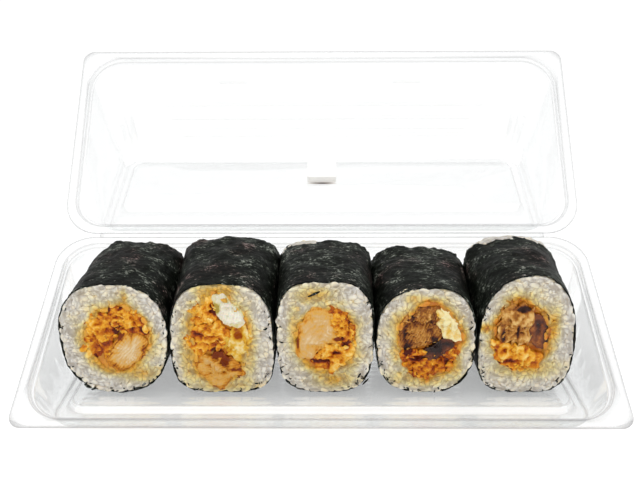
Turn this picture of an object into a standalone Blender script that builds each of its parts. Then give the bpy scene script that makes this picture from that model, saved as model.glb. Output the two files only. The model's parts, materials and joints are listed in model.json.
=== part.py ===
"""Takeaway sushi tray: a clear hinged pack with five thick rolls, cut faces to the front, lid open.

Metres, +Z up, +X to the right along the row of rolls, +Y to the back, where the hinge is.
The origin is on the underside of the base, in the middle of its front foot band.
Positions along the depth are first given from the front rim edge, and then shifted by FOOT_Y.
"""

import math
import random

import bmesh
import bpy
import numpy as np
from mathutils import Matrix, Vector

MM = 0.001

# Clear pack: a slanted rim, low at the front, with the lid hinged along its back edge
RIM_WIDTH = 265 * MM
RIM_DEPTH = 108.5 * MM
RIM_SLANT = math.radians(28.6)
FRONT_RIM_HEIGHT = 7.5 * MM
FOOT_Y = 16.5 * MM
SHEET = 0.6 * MM
RIM_GAP = 0.45 * MM
FLANGE = 4.5 * MM
SNAP_HEIGHT = 3.0 * MM
HINGE_CLEARANCE = 0.8 * MM
LID_OPEN = math.radians(157.4)
CORNER_STEPS = 6

# Base: the walls run down to a foot band, and the rolls stand on a raised platform inside it
FOOT_HALF_WIDTH = 119.5 * MM
FOOT_FRONT = 11 * MM
FOOT_BACK = 86.8 * MM
PLATFORM_HALF_WIDTH = 114.5 * MM
PLATFORM_FRONT = 24.5 * MM
PLATFORM_BACK = 82.6 * MM
PLATFORM_TOP = 3.0 * MM

# Lid: a level top panel with a shallow recess
PANEL_HEIGHT = 66.5 * MM
PANEL_HALF_WIDTH = 113 * MM
PANEL_FRONT = 21 * MM
PANEL_BACK = 84.3 * MM
RECESS_DEPTH = 0.8 * MM
RECESS_BACK = 68 * MM
RECESS_MARGIN = 4 * MM
PAD_SIZE = (16.4 * MM, 18 * MM, 4 * MM)
PAD_FRONT = 27 * MM

# Rolls
TOUCH_GAP = 0.3 * MM
FACE_Y = 34.5 * MM
ROLL_BACK = 84.5 * MM
NORI = 0.5 * MM
OUTLINE_POINTS = 36
POCKET_GAP = 0.45 * MM
FILLING_GAP = 0.4 * MM
FILLING_POINTS = 16
CORE_SETBACK = 1.0 * MM
GRAIN_LENGTH = 6.4 * MM
GRAIN_WIDTH = 2.8 * MM
GRAIN_SIDES = 5
FRONT_GRAINS = 25
BACK_GRAINS = 9

# left and right edge, face height, rise towards the back, height of the widest part,
# and how square the upper and the lower half are
ROLLS = (
    dict(left=-118.1, right=-68.8, height=55.3, rise=2.4, waist=30, top=2.5, bottom=2.5),
    dict(left=-68.2, right=-20.7, height=55.4, rise=4.2, waist=25, top=3.0, bottom=3.6),
    dict(left=-20.1, right=24.4, height=56.6, rise=1.4, waist=30, top=3.2, bottom=3.2),
    dict(left=25.0, right=70.3, height=53.4, rise=1.2, waist=26, top=2.7, bottom=2.6),
    dict(left=71.0, right=114.8, height=59.4, rise=1.0, waist=27, top=2.3, bottom=3.4),
)
# The pocket of each roll: middle across and up, half width, half height
POCKETS = ((0.9, 29.1, 15.5, 15.8), (-1.5, 26.8, 13.2, 23.6), (0.7, 28.1, 14.0, 16.8),
           (1.1, 27.6, 14.2, 18.4), (-2.6, 29.6, 12.6, 16.8))
# The fillings of each roll: name, place across and up from the roll's foot, size
FILLINGS = (
    (("batter_1a", -7.0, 30.6, 9.0), ("batter_1b", 8.6, 38.0, 6.0), ("chicken_1", 7.4, 22.0, 8.0)),
    (("batter_2a", -7.0, 41.0, 5.0), ("batter_2b", -5.5, 29.0, 6.5), ("cabbage_2", 5.0, 43.0, 6.0),
     ("egg_2", 6.6, 24.5, 5.0), ("chicken_2", -3.5, 12.0, 7.5)),
    (("chicken_3", -4.7, 32.0, 9.0), ("batter_3a", 8.0, 35.5, 4.5), ("batter_3b", 3.4, 18.1, 6.0)),
    (("meat_4", -2.6, 33.0, 9.0), ("egg_4", 10.6, 34.5, 4.0), ("sauce_4", 4.8, 22.5, 3.5),
     ("batter_4a", 8.2, 16.4, 4.5), ("batter_4b", -5.5, 15.6, 4.5)),
    (("meat_5", -4.2, 34.5, 6.5), ("sauce_5", 5.0, 33.0, 6.0), ("batter_5", -5.0, 19.8, 6.0)),
)

COLOURS = {
    "clear_plastic": ((0.93, 0.95, 0.95), 0.08),
    "white_foam": ((0.92, 0.92, 0.9), 0.7),
    "nori": ((0.018, 0.024, 0.018), 0.45),
    "rice": ((0.78, 0.76, 0.68), 0.4),
    "batter": ((0.75, 0.38, 0.08), 0.4),
    "chicken": ((0.82, 0.6, 0.38), 0.45),
    "cabbage": ((0.78, 0.8, 0.62), 0.35),
    "egg": ((0.85, 0.7, 0.3), 0.4),
    "meat": ((0.36, 0.17, 0.07), 0.4),
    "sauce": ((0.09, 0.03, 0.015), 0.2),
}


def clear_scene():
    """Removes what the file holds before the model is made."""
    for old in list(bpy.data.objects):
        bpy.data.objects.remove(old, do_unlink=True)


def material(name, kind):
    """A Principled material of one of the kinds above, named for its node."""
    colour, roughness = COLOURS[kind]
    made = bpy.data.materials.new(name)
    made.use_nodes = True
    shader = made.node_tree.nodes["Principled BSDF"]
    shader.inputs["Base Color"].default_value = (*colour, 1)
    shader.inputs["Roughness"].default_value = roughness
    if kind == "clear_plastic":
        shader.inputs["Transmission Weight"].default_value = 1
        shader.inputs["IOR"].default_value = 1.5
    return made


def add_object(name, mesh_data, kind):
    """Puts a mesh in the scene under its node's name, with its own material."""
    mesh_data.name = name
    made = bpy.data.objects.new(name, mesh_data)
    bpy.context.scene.collection.objects.link(made)
    mesh_data.materials.append(material(name, kind))
    return made


def on_rim(along, above):
    """(y, z) of a point so far along the closed pack's slanted rim plane and so far above it."""
    return (along * math.cos(RIM_SLANT) - above * math.sin(RIM_SLANT) - FOOT_Y,
            along * math.sin(RIM_SLANT) + above * math.cos(RIM_SLANT) + FRONT_RIM_HEIGHT)


def level(y, z):
    """(y, z) of a point given by its depth from the front rim edge and its height."""
    return y - FOOT_Y, z


def rounded_loop(half_width, front, back, front_radius, back_radius):
    """A rounded rectangle in the plane through two edges parallel to X, given by their (y, z)."""
    front, back = Vector(front), Vector(back)
    length = (back - front).length
    corners = (
        (half_width - back_radius, length - back_radius, back_radius, 0),
        (back_radius - half_width, length - back_radius, back_radius, 90),
        (front_radius - half_width, front_radius, front_radius, 180),
        (half_width - front_radius, front_radius, front_radius, 270),
    )
    points = []
    for middle_x, middle_s, radius, start in corners:
        for step in range(CORNER_STEPS + 1):
            angle = math.radians(start + 90 * step / CORNER_STEPS)
            y, z = front.lerp(back, (middle_s + radius * math.sin(angle)) / length)
            points.append(Vector((middle_x + radius * math.cos(angle), y, z)))
    return points


def skin(loops, close_ends):
    """A mesh of quads through a row of loops, with a flat face over the last or both ends."""
    shape = bmesh.new()
    rows = [[shape.verts.new(point) for point in loop] for loop in loops]
    count = len(rows[0])
    for lower, upper in zip(rows, rows[1:]):
        for here in range(count):
            there = (here + 1) % count
            shape.faces.new((lower[here], lower[there], upper[there], upper[here]))
    shape.faces.new(rows[-1])
    if close_ends:
        shape.faces.new(rows[0][::-1])
    bmesh.ops.recalc_face_normals(shape, faces=shape.faces)
    made = bpy.data.meshes.new("skin")
    shape.to_mesh(made)
    shape.free()
    return made


def thicken(sheet):
    """Gives a sheet its thickness, half on each side."""
    wall = sheet.modifiers.new("wall", "SOLIDIFY")
    wall.thickness = SHEET
    wall.offset = 0
    wall.use_even_offset = True


def rim_loops(side):
    """The flange and the snap step that base and lid share: side is -1 below the rim, 1 above it."""
    back = RIM_DEPTH - HINGE_CLEARANCE
    half = RIM_WIDTH / 2
    steps = ((0, RIM_GAP, 6 * MM, 17 * MM), (FLANGE, RIM_GAP, 18 * MM, 15 * MM),
             (FLANGE + 0.6 * MM, SNAP_HEIGHT, 17.5 * MM, 14.5 * MM),
             (FLANGE + 1.8 * MM, SNAP_HEIGHT + 0.2 * MM, 16.5 * MM, 13.5 * MM))
    return [rounded_loop(half - inset, on_rim(inset, side * height), on_rim(back - inset, side * height),
                         front_radius, back_radius)
            for inset, height, front_radius, back_radius in steps]


def tray_base():
    """The base: rim, sloping walls, foot band and raised platform."""
    middle = SHEET / 2
    loops = rim_loops(-1)
    loops.append(rounded_loop(FOOT_HALF_WIDTH, level(FOOT_FRONT, middle), level(FOOT_BACK, middle),
                              14 * MM, 12 * MM))
    foot_inset = 2.5 * MM
    loops.append(rounded_loop(PLATFORM_HALF_WIDTH + foot_inset / 2,
                              level(PLATFORM_FRONT - foot_inset, middle),
                              level(PLATFORM_BACK + foot_inset / 2, middle), 10 * MM, 9 * MM))
    platform = PLATFORM_TOP - middle
    loops.append(rounded_loop(PLATFORM_HALF_WIDTH, level(PLATFORM_FRONT, platform),
                              level(PLATFORM_BACK, platform), 9 * MM, 8 * MM))
    made = add_object("tray_base", skin(loops, False), "clear_plastic")
    thicken(made)


def hinge_point():
    """The middle of the hinge line, at the back edge of the rim."""
    return Vector((0, *on_rim(RIM_DEPTH, 0)))


def tray_lid():
    """The lid and its pad, made closed round the hinge line and then swung open by their parent."""
    hinge = hinge_point()
    top = PANEL_HEIGHT
    loops = rim_loops(1)
    fillet = ((3.5 * MM, 3.7 * MM, 12 * MM, 9 * MM), (2.3 * MM, 1.3 * MM, 10.5 * MM, 8 * MM),
              (0, 0, 9 * MM, 7 * MM))
    for out, down, front_radius, back_radius in fillet:
        loops.append(rounded_loop(PANEL_HALF_WIDTH + out, level(PANEL_FRONT - out, top - down),
                                  level(PANEL_BACK + out * 0.66, top - down), front_radius, back_radius))
    for inset, down in ((0, 0), (RECESS_DEPTH, RECESS_DEPTH)):
        margin = RECESS_MARGIN + inset
        loops.append(rounded_loop(PANEL_HALF_WIDTH - margin, level(PANEL_FRONT + margin, top - down),
                                  level(RECESS_BACK - inset, top - down), 6 * MM, 6 * MM))
    swing = bpy.data.objects.new("lid_hinge", None)
    bpy.context.scene.collection.objects.link(swing)
    swing.location = hinge
    swing.rotation_euler = (-LID_OPEN, 0, 0)
    lid = add_object("tray_lid", skin([[point - hinge for point in loop] for loop in loops], False),
                     "clear_plastic")
    thicken(lid)
    lid.parent = swing

    width, depth, thickness = PAD_SIZE
    ceiling = top - RECESS_DEPTH - SHEET / 2 - TOUCH_GAP
    outline = [rounded_loop(width / 2, level(PAD_FRONT, height), level(PAD_FRONT + depth, height), MM, MM)
               for height in (ceiling - thickness, ceiling)]
    pad = add_object("lid_pad", skin([[point - hinge for point in loop] for loop in outline], True),
                     "white_foam")
    pad.parent = swing


def roll_outline(roll, grow=0.0, rise=0.0):
    """Outline of a cut face as (x, z): four quarters of superellipses on one waist line."""
    left, right = roll["left"] * MM, roll["right"] * MM
    foot = PLATFORM_TOP + TOUCH_GAP
    waist = foot + roll["waist"] * MM
    turn = np.arange(OUTLINE_POINTS) * 2 * np.pi / OUTLINE_POINTS
    across, up = np.cos(turn), np.sin(turn)
    power = np.where(up >= 0, roll["top"], roll["bottom"])
    x = np.sign(across) * np.abs(across) ** (2 / power) * ((right - left) / 2 + grow)
    above = foot + roll["height"] * MM + rise - waist + grow
    below = waist - foot + grow
    z = np.sign(up) * np.abs(up) ** (2 / power) * np.where(up >= 0, above, below)
    return np.stack([x + (left + right) / 2, z + waist], axis=1)


def pocket_outline(index):
    """Outline of the pocket in the rice, an ellipse, as (x, z)."""
    roll, (across, up, half_width, half_height) = ROLLS[index], POCKETS[index]
    turn = np.arange(OUTLINE_POINTS) * 2 * np.pi / OUTLINE_POINTS
    middle = np.array([(roll["left"] + roll["right"]) / 2 + across, up]) * MM
    middle[1] += PLATFORM_TOP
    size = np.array([half_width, half_height]) * MM
    return middle + size * np.stack([np.cos(turn), np.sin(turn)], axis=1)


def ring_points(outline, depth):
    """Points of a loop at a depth from the front rim edge; depth may differ from point to point."""
    depths = np.broadcast_to(depth, len(outline))
    return [Vector((x, y - FOOT_Y, z)) for (x, z), y in zip(outline, depths)]


def tube_mesh(loops):
    """A closed ring-shaped solid: loops in order round its section, the last joined to the first."""
    shape = bmesh.new()
    rows = [[shape.verts.new(point) for point in loop] for loop in loops]
    count = len(rows[0])
    for lower, upper in zip(rows, rows[1:] + rows[:1]):
        for here in range(count):
            there = (here + 1) % count
            shape.faces.new((lower[here], lower[there], upper[there], upper[here]))
    bmesh.ops.recalc_face_normals(shape, faces=shape.faces)
    bmesh.ops.triangulate(shape, faces=shape.faces)
    made = bpy.data.meshes.new("tube")
    shape.to_mesh(made)
    shape.free()
    return made


def nori_sheet(index, chance):
    """The sheet of nori round a roll, higher in the middle of its length, with an uneven front edge."""
    roll = ROLLS[index]
    rise = roll["rise"] * MM
    middle = (FACE_Y + ROLL_BACK) / 2
    edge = FACE_Y + np.array([chance.uniform(0.1, 0.7) for _ in range(OUTLINE_POINTS)]) * MM
    stations = ((edge, 0.0), (middle, rise), (ROLL_BACK - 0.4 * MM, rise * 0.8))
    outer = [ring_points(roll_outline(roll, 0, lift), depth) for depth, lift in stations]
    inner = [ring_points(roll_outline(roll, -NORI, lift), depth) for depth, lift in stations]
    add_object(f"nori_{index + 1}", tube_mesh(outer + inner[::-1]), "nori")


def grain_mesh(place, turn, tilt, size):
    """One grain of rice with few sides, pointed at both ends, placed on a cut face."""
    shape = bmesh.new()
    rings = []
    for along, width in ((-0.27, 1.0), (0.27, 1.0)):
        ring = []
        for side in range(GRAIN_SIDES):
            angle = 2 * math.pi * side / GRAIN_SIDES
            ring.append(shape.verts.new((along * GRAIN_LENGTH * size,
                                         width * GRAIN_WIDTH / 2 * size * math.cos(angle),
                                         width * GRAIN_WIDTH / 2 * size * math.sin(angle))))
        rings.append(ring)
    tips = [shape.verts.new((end * GRAIN_LENGTH / 2 * size, 0, 0)) for end in (-1, 1)]
    for here in range(GRAIN_SIDES):
        there = (here + 1) % GRAIN_SIDES
        shape.faces.new((rings[0][here], rings[0][there], rings[1][there]))
        shape.faces.new((rings[0][here], rings[1][there], rings[1][here]))
        shape.faces.new((tips[0], rings[0][there], rings[0][here]))
        shape.faces.new((tips[1], rings[1][here], rings[1][there]))
    shape.transform(Matrix.Translation(place) @ Matrix.Rotation(turn, 4, "Y")
                    @ Matrix.Rotation(tilt, 4, "Z"))
    bmesh.ops.recalc_face_normals(shape, faces=shape.faces)
    made = bpy.data.meshes.new("grain")
    shape.to_mesh(made)
    shape.free()
    return made


def distance_to(outline, point):
    """Shortest distance from a point to a closed outline's sides."""
    start, end = outline, np.roll(outline, -1, axis=0)
    side = end - start
    share = np.clip(((point - start) * side).sum(1) / (side ** 2).sum(1), 0, 1)
    return float(np.linalg.norm(start + side * share[:, None] - point, axis=1).min())


def inside(outline, point):
    """Whether a point is inside a closed outline, by counting the sides that a ray crosses."""
    x, z = outline[:, 0], outline[:, 1]
    next_x, next_z = np.roll(x, -1), np.roll(z, -1)
    spans = (z > point[1]) != (next_z > point[1])
    drop = np.where(next_z == z, 1, next_z - z)
    return bool((spans & (point[0] < x + (point[1] - z) / drop * (next_x - x))).sum() % 2)


def grain_places(outer, pocket, count, chance):
    """Places and turns of grains that fit between two outlines, each far from those before it."""
    low, high = outer.min(0), outer.max(0)
    taken, spacing = [], GRAIN_LENGTH * 0.95
    for attempt in range(6000):
        if len(taken) == count:
            break
        if attempt % 1000 == 999:
            spacing *= 0.85
        middle = np.array([chance.uniform(low[0], high[0]), chance.uniform(low[1], high[1])])
        turn = chance.uniform(0, math.pi)
        reach = np.array([math.cos(turn), -math.sin(turn)]) * GRAIN_LENGTH * 0.36
        checks = (middle - reach, middle, middle + reach)
        room = GRAIN_WIDTH / 2 + TOUCH_GAP
        if not all(inside(outer, spot) and not inside(pocket, spot) for spot in checks):
            continue
        if min(min(distance_to(outer, spot), distance_to(pocket, spot)) for spot in checks) < room:
            continue
        if all(np.linalg.norm(middle - other) > spacing for other, _ in taken):
            taken.append((middle, turn))
    return taken


def keep_largest_body(mesh_data):
    """Drops the loose scraps and the sealed hollows that a union can leave."""
    shape = bmesh.new()
    shape.from_mesh(mesh_data)
    left, bodies = set(shape.verts), []
    while left:
        body, edge = set(), [left.pop()]
        while edge:
            here = edge.pop()
            body.add(here)
            for side in here.link_edges:
                there = side.other_vert(here)
                if there in left:
                    left.discard(there)
                    edge.append(there)
        bodies.append(body)
    bodies.sort(key=len)
    loose = [point for body in bodies[:-1] for point in body]
    bmesh.ops.delete(shape, geom=loose, context="VERTS")
    shape.to_mesh(mesh_data)
    shape.free()


def rice_ring(index, chance):
    """The rice between nori and fillings: a core with grains fused on both cut faces."""
    roll = ROLLS[index]
    outer = roll_outline(roll, -NORI - TOUCH_GAP)
    pocket = pocket_outline(index)
    front, back = FACE_Y + CORE_SETBACK, ROLL_BACK - CORE_SETBACK
    between = outer * 0.5 + pocket * 0.5
    bulge = np.array([chance.uniform(-0.5, 0.3) for _ in range(OUTLINE_POINTS)]) * MM
    core = add_object(f"rice_{index + 1}", tube_mesh([
        ring_points(outer, front), ring_points(between, front + bulge), ring_points(pocket, front),
        ring_points(pocket, back), ring_points(outer, back)]), "rice")
    loose = bpy.data.collections.new("grains")
    bpy.context.scene.collection.children.link(loose)
    for depth, count in ((front, FRONT_GRAINS), (back, BACK_GRAINS)):
        for (x, z), turn in grain_places(outer, pocket, count, chance):
            place = Vector((x, depth - FOOT_Y + chance.uniform(-0.25, 0.25) * MM, z))
            mesh_data = grain_mesh(place, turn, chance.uniform(-0.12, 0.12), chance.uniform(0.92, 1.05))
            loose.objects.link(bpy.data.objects.new("grain", mesh_data))
    join = core.modifiers.new("grains", "BOOLEAN")
    join.operation = "UNION"
    join.operand_type = "COLLECTION"
    join.collection = loose
    join.solver = "EXACT"
    bpy.context.view_layer.update()
    joined = bpy.data.meshes.new_from_object(core.evaluated_get(bpy.context.evaluated_depsgraph_get()))
    core.modifiers.clear()
    core.data = joined
    for grain in list(loose.objects):
        bpy.data.objects.remove(grain, do_unlink=True)
    bpy.data.collections.remove(loose)
    keep_largest_body(core.data)


def filling_outline(index, number, chance):
    """Outline of one filling: as far as its neighbours and the pocket's wall leave room.

    Neighbours share the pocket by their power lines, so a larger size takes more room.
    """
    roll = ROLLS[index]
    middle_x = (roll["left"] + roll["right"]) / 2
    across, up, half_width, half_height = POCKETS[index]
    wall = np.array([half_width, half_height]) * MM - POCKET_GAP
    pocket = np.array([middle_x + across, up]) * MM
    places = [(np.array([middle_x + x, z]) * MM, size * MM) for _, x, z, size in FILLINGS[index]]
    own, own_size = places[number]
    points = []
    for step in range(FILLING_POINTS):
        angle = 2 * math.pi * step / FILLING_POINTS
        ray = np.array([math.cos(angle), math.sin(angle)])
        offset, scaled = (own - pocket) / wall, ray / wall
        a, b, c = scaled @ scaled, offset @ scaled, offset @ offset - 1
        reach = (-b + math.sqrt(b * b - a * c)) / a
        for other, other_size in places:
            apart = other - own
            facing = apart @ ray
            if facing > 1e-9:
                power = apart @ apart + own_size ** 2 - other_size ** 2
                room = power / (2 * facing) - FILLING_GAP / 2 * np.linalg.norm(apart) / facing
                reach = min(reach, room)
        points.append(own + ray * reach * (1 - chance.uniform(0, 0.09)))
    outline = np.array(points)
    outline[:, 1] += PLATFORM_TOP
    return outline


def filling(index, number, chance):
    """One filling: a strip that runs through the roll, with uneven domed ends."""
    name = FILLINGS[index][number][0]
    outline = filling_outline(index, number, chance)
    middle = outline.mean(axis=0)
    front = FACE_Y - FOOT_Y + chance.uniform(-0.2, 0.9) * MM
    back = ROLL_BACK - FOOT_Y - chance.uniform(0.2, 1.2) * MM
    shape = bmesh.new()
    rows = [[shape.verts.new((x, y, z)) for x, z in outline] for y in (front, back)]
    tips = [shape.verts.new((middle[0], front - 0.9 * MM, middle[1])),
            shape.verts.new((middle[0], back + 0.5 * MM, middle[1]))]
    for here in range(FILLING_POINTS):
        there = (here + 1) % FILLING_POINTS
        shape.faces.new((rows[0][here], rows[0][there], rows[1][there]))
        shape.faces.new((rows[0][here], rows[1][there], rows[1][here]))
        shape.faces.new((tips[0], rows[0][there], rows[0][here]))
        shape.faces.new((tips[1], rows[1][here], rows[1][there]))
    bmesh.ops.recalc_face_normals(shape, faces=shape.faces)
    made = bpy.data.meshes.new(name)
    shape.to_mesh(made)
    shape.free()
    add_object(name, made, name.split("_")[0])


def build():
    """Makes the whole tray."""
    clear_scene()
    tray_base()
    tray_lid()
    chance = random.Random(20)
    for index in range(len(ROLLS)):
        nori_sheet(index, chance)
        rice_ring(index, chance)
        for number in range(len(FILLINGS[index])):
            filling(index, number, chance)


build()
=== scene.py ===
"""Looks of the takeaway sushi tray: clear pack, nori, rice grains and fried fillings.

Metres, +Z up, +X along the row of rolls, +Y to the back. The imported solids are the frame,
and every piece below takes its place from them or from the named sizes that they were built with.
"""

import itertools
import json
import math

import bpy
import numpy as np
from mathutils import Euler, Matrix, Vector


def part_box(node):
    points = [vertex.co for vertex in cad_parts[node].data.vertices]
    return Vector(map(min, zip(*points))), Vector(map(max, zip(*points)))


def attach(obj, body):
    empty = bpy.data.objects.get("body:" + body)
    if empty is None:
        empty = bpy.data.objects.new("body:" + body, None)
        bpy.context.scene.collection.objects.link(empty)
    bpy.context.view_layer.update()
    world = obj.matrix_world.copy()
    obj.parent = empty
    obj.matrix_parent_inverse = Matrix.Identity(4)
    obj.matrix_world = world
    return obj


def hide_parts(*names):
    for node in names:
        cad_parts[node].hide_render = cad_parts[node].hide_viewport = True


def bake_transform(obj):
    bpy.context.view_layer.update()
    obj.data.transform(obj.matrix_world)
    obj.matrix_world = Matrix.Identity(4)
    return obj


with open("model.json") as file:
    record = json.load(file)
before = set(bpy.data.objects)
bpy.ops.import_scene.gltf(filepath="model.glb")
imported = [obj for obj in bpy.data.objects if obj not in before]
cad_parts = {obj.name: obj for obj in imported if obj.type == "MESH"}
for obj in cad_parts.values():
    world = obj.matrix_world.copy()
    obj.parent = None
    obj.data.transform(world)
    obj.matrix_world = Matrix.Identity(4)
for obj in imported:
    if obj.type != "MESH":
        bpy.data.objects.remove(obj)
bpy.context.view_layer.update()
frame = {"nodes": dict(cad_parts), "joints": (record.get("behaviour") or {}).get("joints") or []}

MM = 0.001

# Clear pack, as the solids have it
RIM_WIDTH = 265 * MM
RIM_DEPTH = 108.5 * MM
RIM_SLANT = math.radians(28.6)
FRONT_RIM_HEIGHT = 7.5 * MM
FOOT_Y = 16.5 * MM
RIM_GAP = 0.45 * MM
FLANGE = 4.5 * MM
SNAP_HEIGHT = 3.0 * MM
HINGE_CLEARANCE = 0.8 * MM
LID_OPEN = math.radians(157.4)
FOOT_HALF_WIDTH = 119.5 * MM
FOOT_FRONT = 11 * MM
FOOT_BACK = 86.8 * MM
PLATFORM_HALF_WIDTH = 114.5 * MM
PLATFORM_FRONT = 24.5 * MM
PLATFORM_BACK = 82.6 * MM
PLATFORM_TOP = 3.0 * MM
PANEL_HEIGHT = 66.5 * MM
PANEL_HALF_WIDTH = 113 * MM
PANEL_FRONT = 21 * MM
PANEL_BACK = 84.3 * MM
RECESS_DEPTH = 0.8 * MM
RECESS_BACK = 68 * MM
RECESS_MARGIN = 4 * MM
PAD_END = 45 * MM
# Size of the strip of painted contact shadow under the pad's lower edge: length, width, thickness
PAD_SHADOW_STRIP = np.array([17, 1.3, 0.5]) * MM
FILM = 0.24 * MM
FILM_MARGIN = 19 * MM
# Lines pressed into the lid's front wall, and its two latch dashes: share down the wall, width as a share,
# depth, middle, reach to each side, length of the fade (the last four in mm)
LID_LINES = ((0.48, 0.020, 0.5, 0, 94, 4), (0.62, 0.022, 0.8, 0, 88, 4), (0.72, 0.020, 0.5, 0, 86, 4),
             (0.80, 0.022, 0.8, 0, 86, 4), (0.25, 0.018, 0.45, -49.5, 8.5, 1),
             (0.25, 0.018, 0.45, 47.8, 8.5, 1))

# Fine mesh of the clear sheet, and the painted grey at its folds and cut edge that stands in for the darker
# reflection and refraction there
CLEAR_SHEET = 0.4 * MM
FULL_CREASE = 2300  # radians in a metre at which a fold looks fully grey
CUT_EDGE_CREASE = 0.75  # least grey of the sheet's cut edge
CORNER_STEPS = 22
LONG_STEPS = 84
SHORT_STEPS = 34

# Rolls: rise towards the back, height of the widest part, squareness of the upper and lower half
ROLLS = (
    dict(rise=2.4, waist=30, top=2.5, bottom=2.5),
    dict(rise=4.2, waist=25, top=3.0, bottom=3.6),
    dict(rise=1.4, waist=30, top=3.2, bottom=3.2),
    dict(rise=1.2, waist=26, top=2.7, bottom=2.6),
    dict(rise=1.0, waist=27, top=2.3, bottom=3.4),
)
# The pocket of each roll: middle across and up, half width, half height
POCKETS = ((0.9, 29.1, 15.5, 15.8), (-1.5, 26.8, 13.2, 23.6), (0.7, 28.1, 14.0, 16.8),
           (1.1, 27.6, 14.2, 18.4), (-2.6, 29.6, 12.6, 16.8))
NORI = 0.45 * MM
GRAIN_LENGTH = 6.2 * MM
GRAIN_WIDTH = 3.1 * MM
GRAIN_SPACING = 2.6 * MM
BOWL_DEPTH = 0.8 * MM
# How far grains may reach on the front and on the back, where 1 is the nori, and where they are pressed in;
# above the shoulder those on the front stay well inside, and grains that fit worse than this are left out
GRAIN_FIT = 1.12
SHOULDER = 38 * MM
FRONT_LIMIT = (0.985, 1.03)
BACK_LIMIT = 0.99
PRESSED_LIMIT = 1.026
BACK_SHRINK = 0.975
CUT_FLATTENING = 0.9  # how much of what stands out of a cut face the knife took off
CROWN_GRAINS = 90
CROWN_GRAIN = np.array([5.5, 2.9, 2.9]) * MM
RIM_SPECKS = 26
# How far each nori sheet stops short of the roll's back face
NORI_SHORT = (0.2 * MM, 0.2 * MM, 1.6 * MM, 0.2 * MM, 3.0 * MM)
# How much narrower each roll is at its back, on its left and right (mm), in full this far from its middle
NARROWING_REACH = 20 * MM
NARROWING = ((5.5, -0.45), (-0.45, -0.45), (-0.45, -0.45), (-0.45, -0.45), (-0.45, 0))
# Backs of the rolls: share of the upper half that goes straight up, and the sine of the turn where it ends
BACK_STRAIGHT = 0.6
BACK_STRAIGHT_END = 0.35
# Rolls whose rice shows over the nori's back edge: from and to turn in degrees
RICE_CROWNS = {2: (97, 142), 4: (46, 136)}
# Loose bits of nori on the cut faces: roll, across and up (mm), length, width, turn in degrees
NORI_BITS = (
    (0, -14.0, 4.0, 4.2, 1.8, -35), (0, -11.6, 2.4, 2.6, 1.2, 20), (0, 8.6, 3.0, 5.0, 1.0, 10),
    (0, 12.0, 5.0, 2.6, 1.4, 40), (1, 19.6, 33.0, 2.2, 1.2, 30), (1, 15.0, 5.6, 2.0, 0.9, 0),
    (2, 15.6, 9.6, 3.0, 1.0, 60), (2, 18.4, 6.4, 4.4, 1.0, 50), (2, -5.0, 50.2, 6.5, 1.3, 26),
    (3, -17.0, 8.0, 2.2, 1.0, -50), (3, 16.0, 7.0, 2.4, 0.9, 45), (4, 15.4, 8.0, 2.8, 1.1, 55),
    (4, -16.6, 6.0, 2.0, 1.0, -40),
)

# Where sauce lies dark on the cut face: across from the roll's middle, up from the platform,
# half width, half height (all mm), how dark, how deep a hollow (mm)
DARK_SPOTS = (
    ((2.3, 33.1, 2.4, 3.6, 0.75, 0.8), (14.6, 33.4, 2.0, 3.0, 0.8, 0.5), (-12.0, 34.0, 0.7, 2.4, 0.6, 0.5),
     (-0.6, 43.0, 1.8, 2.0, 0.6, 0.3), (-4.6, 24.5, 4.2, 3.0, 0.3, 0.0)),
    ((-1.7, 43.2, 2.4, 2.8, 0.85, 0.8), (-12.3, 41.4, 1.2, 2.0, 0.8, 0.4), (-10.6, 31.1, 3.0, 1.6, 0.45, 0.4),
     (6.8, 29.9, 1.5, 2.2, 0.8, 0.8), (-2.6, 21.4, 2.3, 2.8, 1.0, 2.0), (1.0, 16.4, 1.9, 2.8, 1.0, 1.8),
     (4.6, 12.6, 3.0, 0.9, 0.6, 0.5)),
    ((11.0, 38.6, 0.9, 3.2, 0.8, 0.6), (6.1, 28.2, 2.4, 1.0, 1.0, 1.4), (9.2, 24.8, 1.4, 1.8, 0.8, 0.8),
     (-2.4, 17.0, 5.0, 1.0, 0.75, 0.8), (5.2, 21.4, 2.6, 0.8, 0.8, 0.8), (-12.4, 26.0, 0.7, 6.0, 0.4, 0.3)),
    ((-6.4, 39.7, 1.4, 2.2, 0.9, 0.9), (-8.4, 23.0, 1.8, 3.8, 0.9, 0.9), (4.4, 25.3, 2.3, 2.8, 1.0, 1.4),
     (-4.3, 18.8, 3.8, 1.3, 0.95, 1.0), (10.0, 15.4, 2.2, 5.0, 0.55, 0.3), (-9.8, 31.0, 0.8, 4.0, 0.6, 0.4)),
    ((-3.3, 43.6, 4.2, 1.6, 0.85, 0.6), (-11.2, 30.6, 1.0, 4.4, 0.85, 0.6), (-4.6, 32.0, 0.6, 4.0, 0.9, 0.8),
     (-7.6, 17.6, 5.0, 1.0, 0.6, 0.5), (9.6, 31.0, 1.8, 7.0, 0.8, 0.3)),
)
# How much sauce the rice has soaked up at the edge of each roll's pocket
EDGE_SOAK = (0.56, 0.56, 0.56, 0.66, 0.66)
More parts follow.
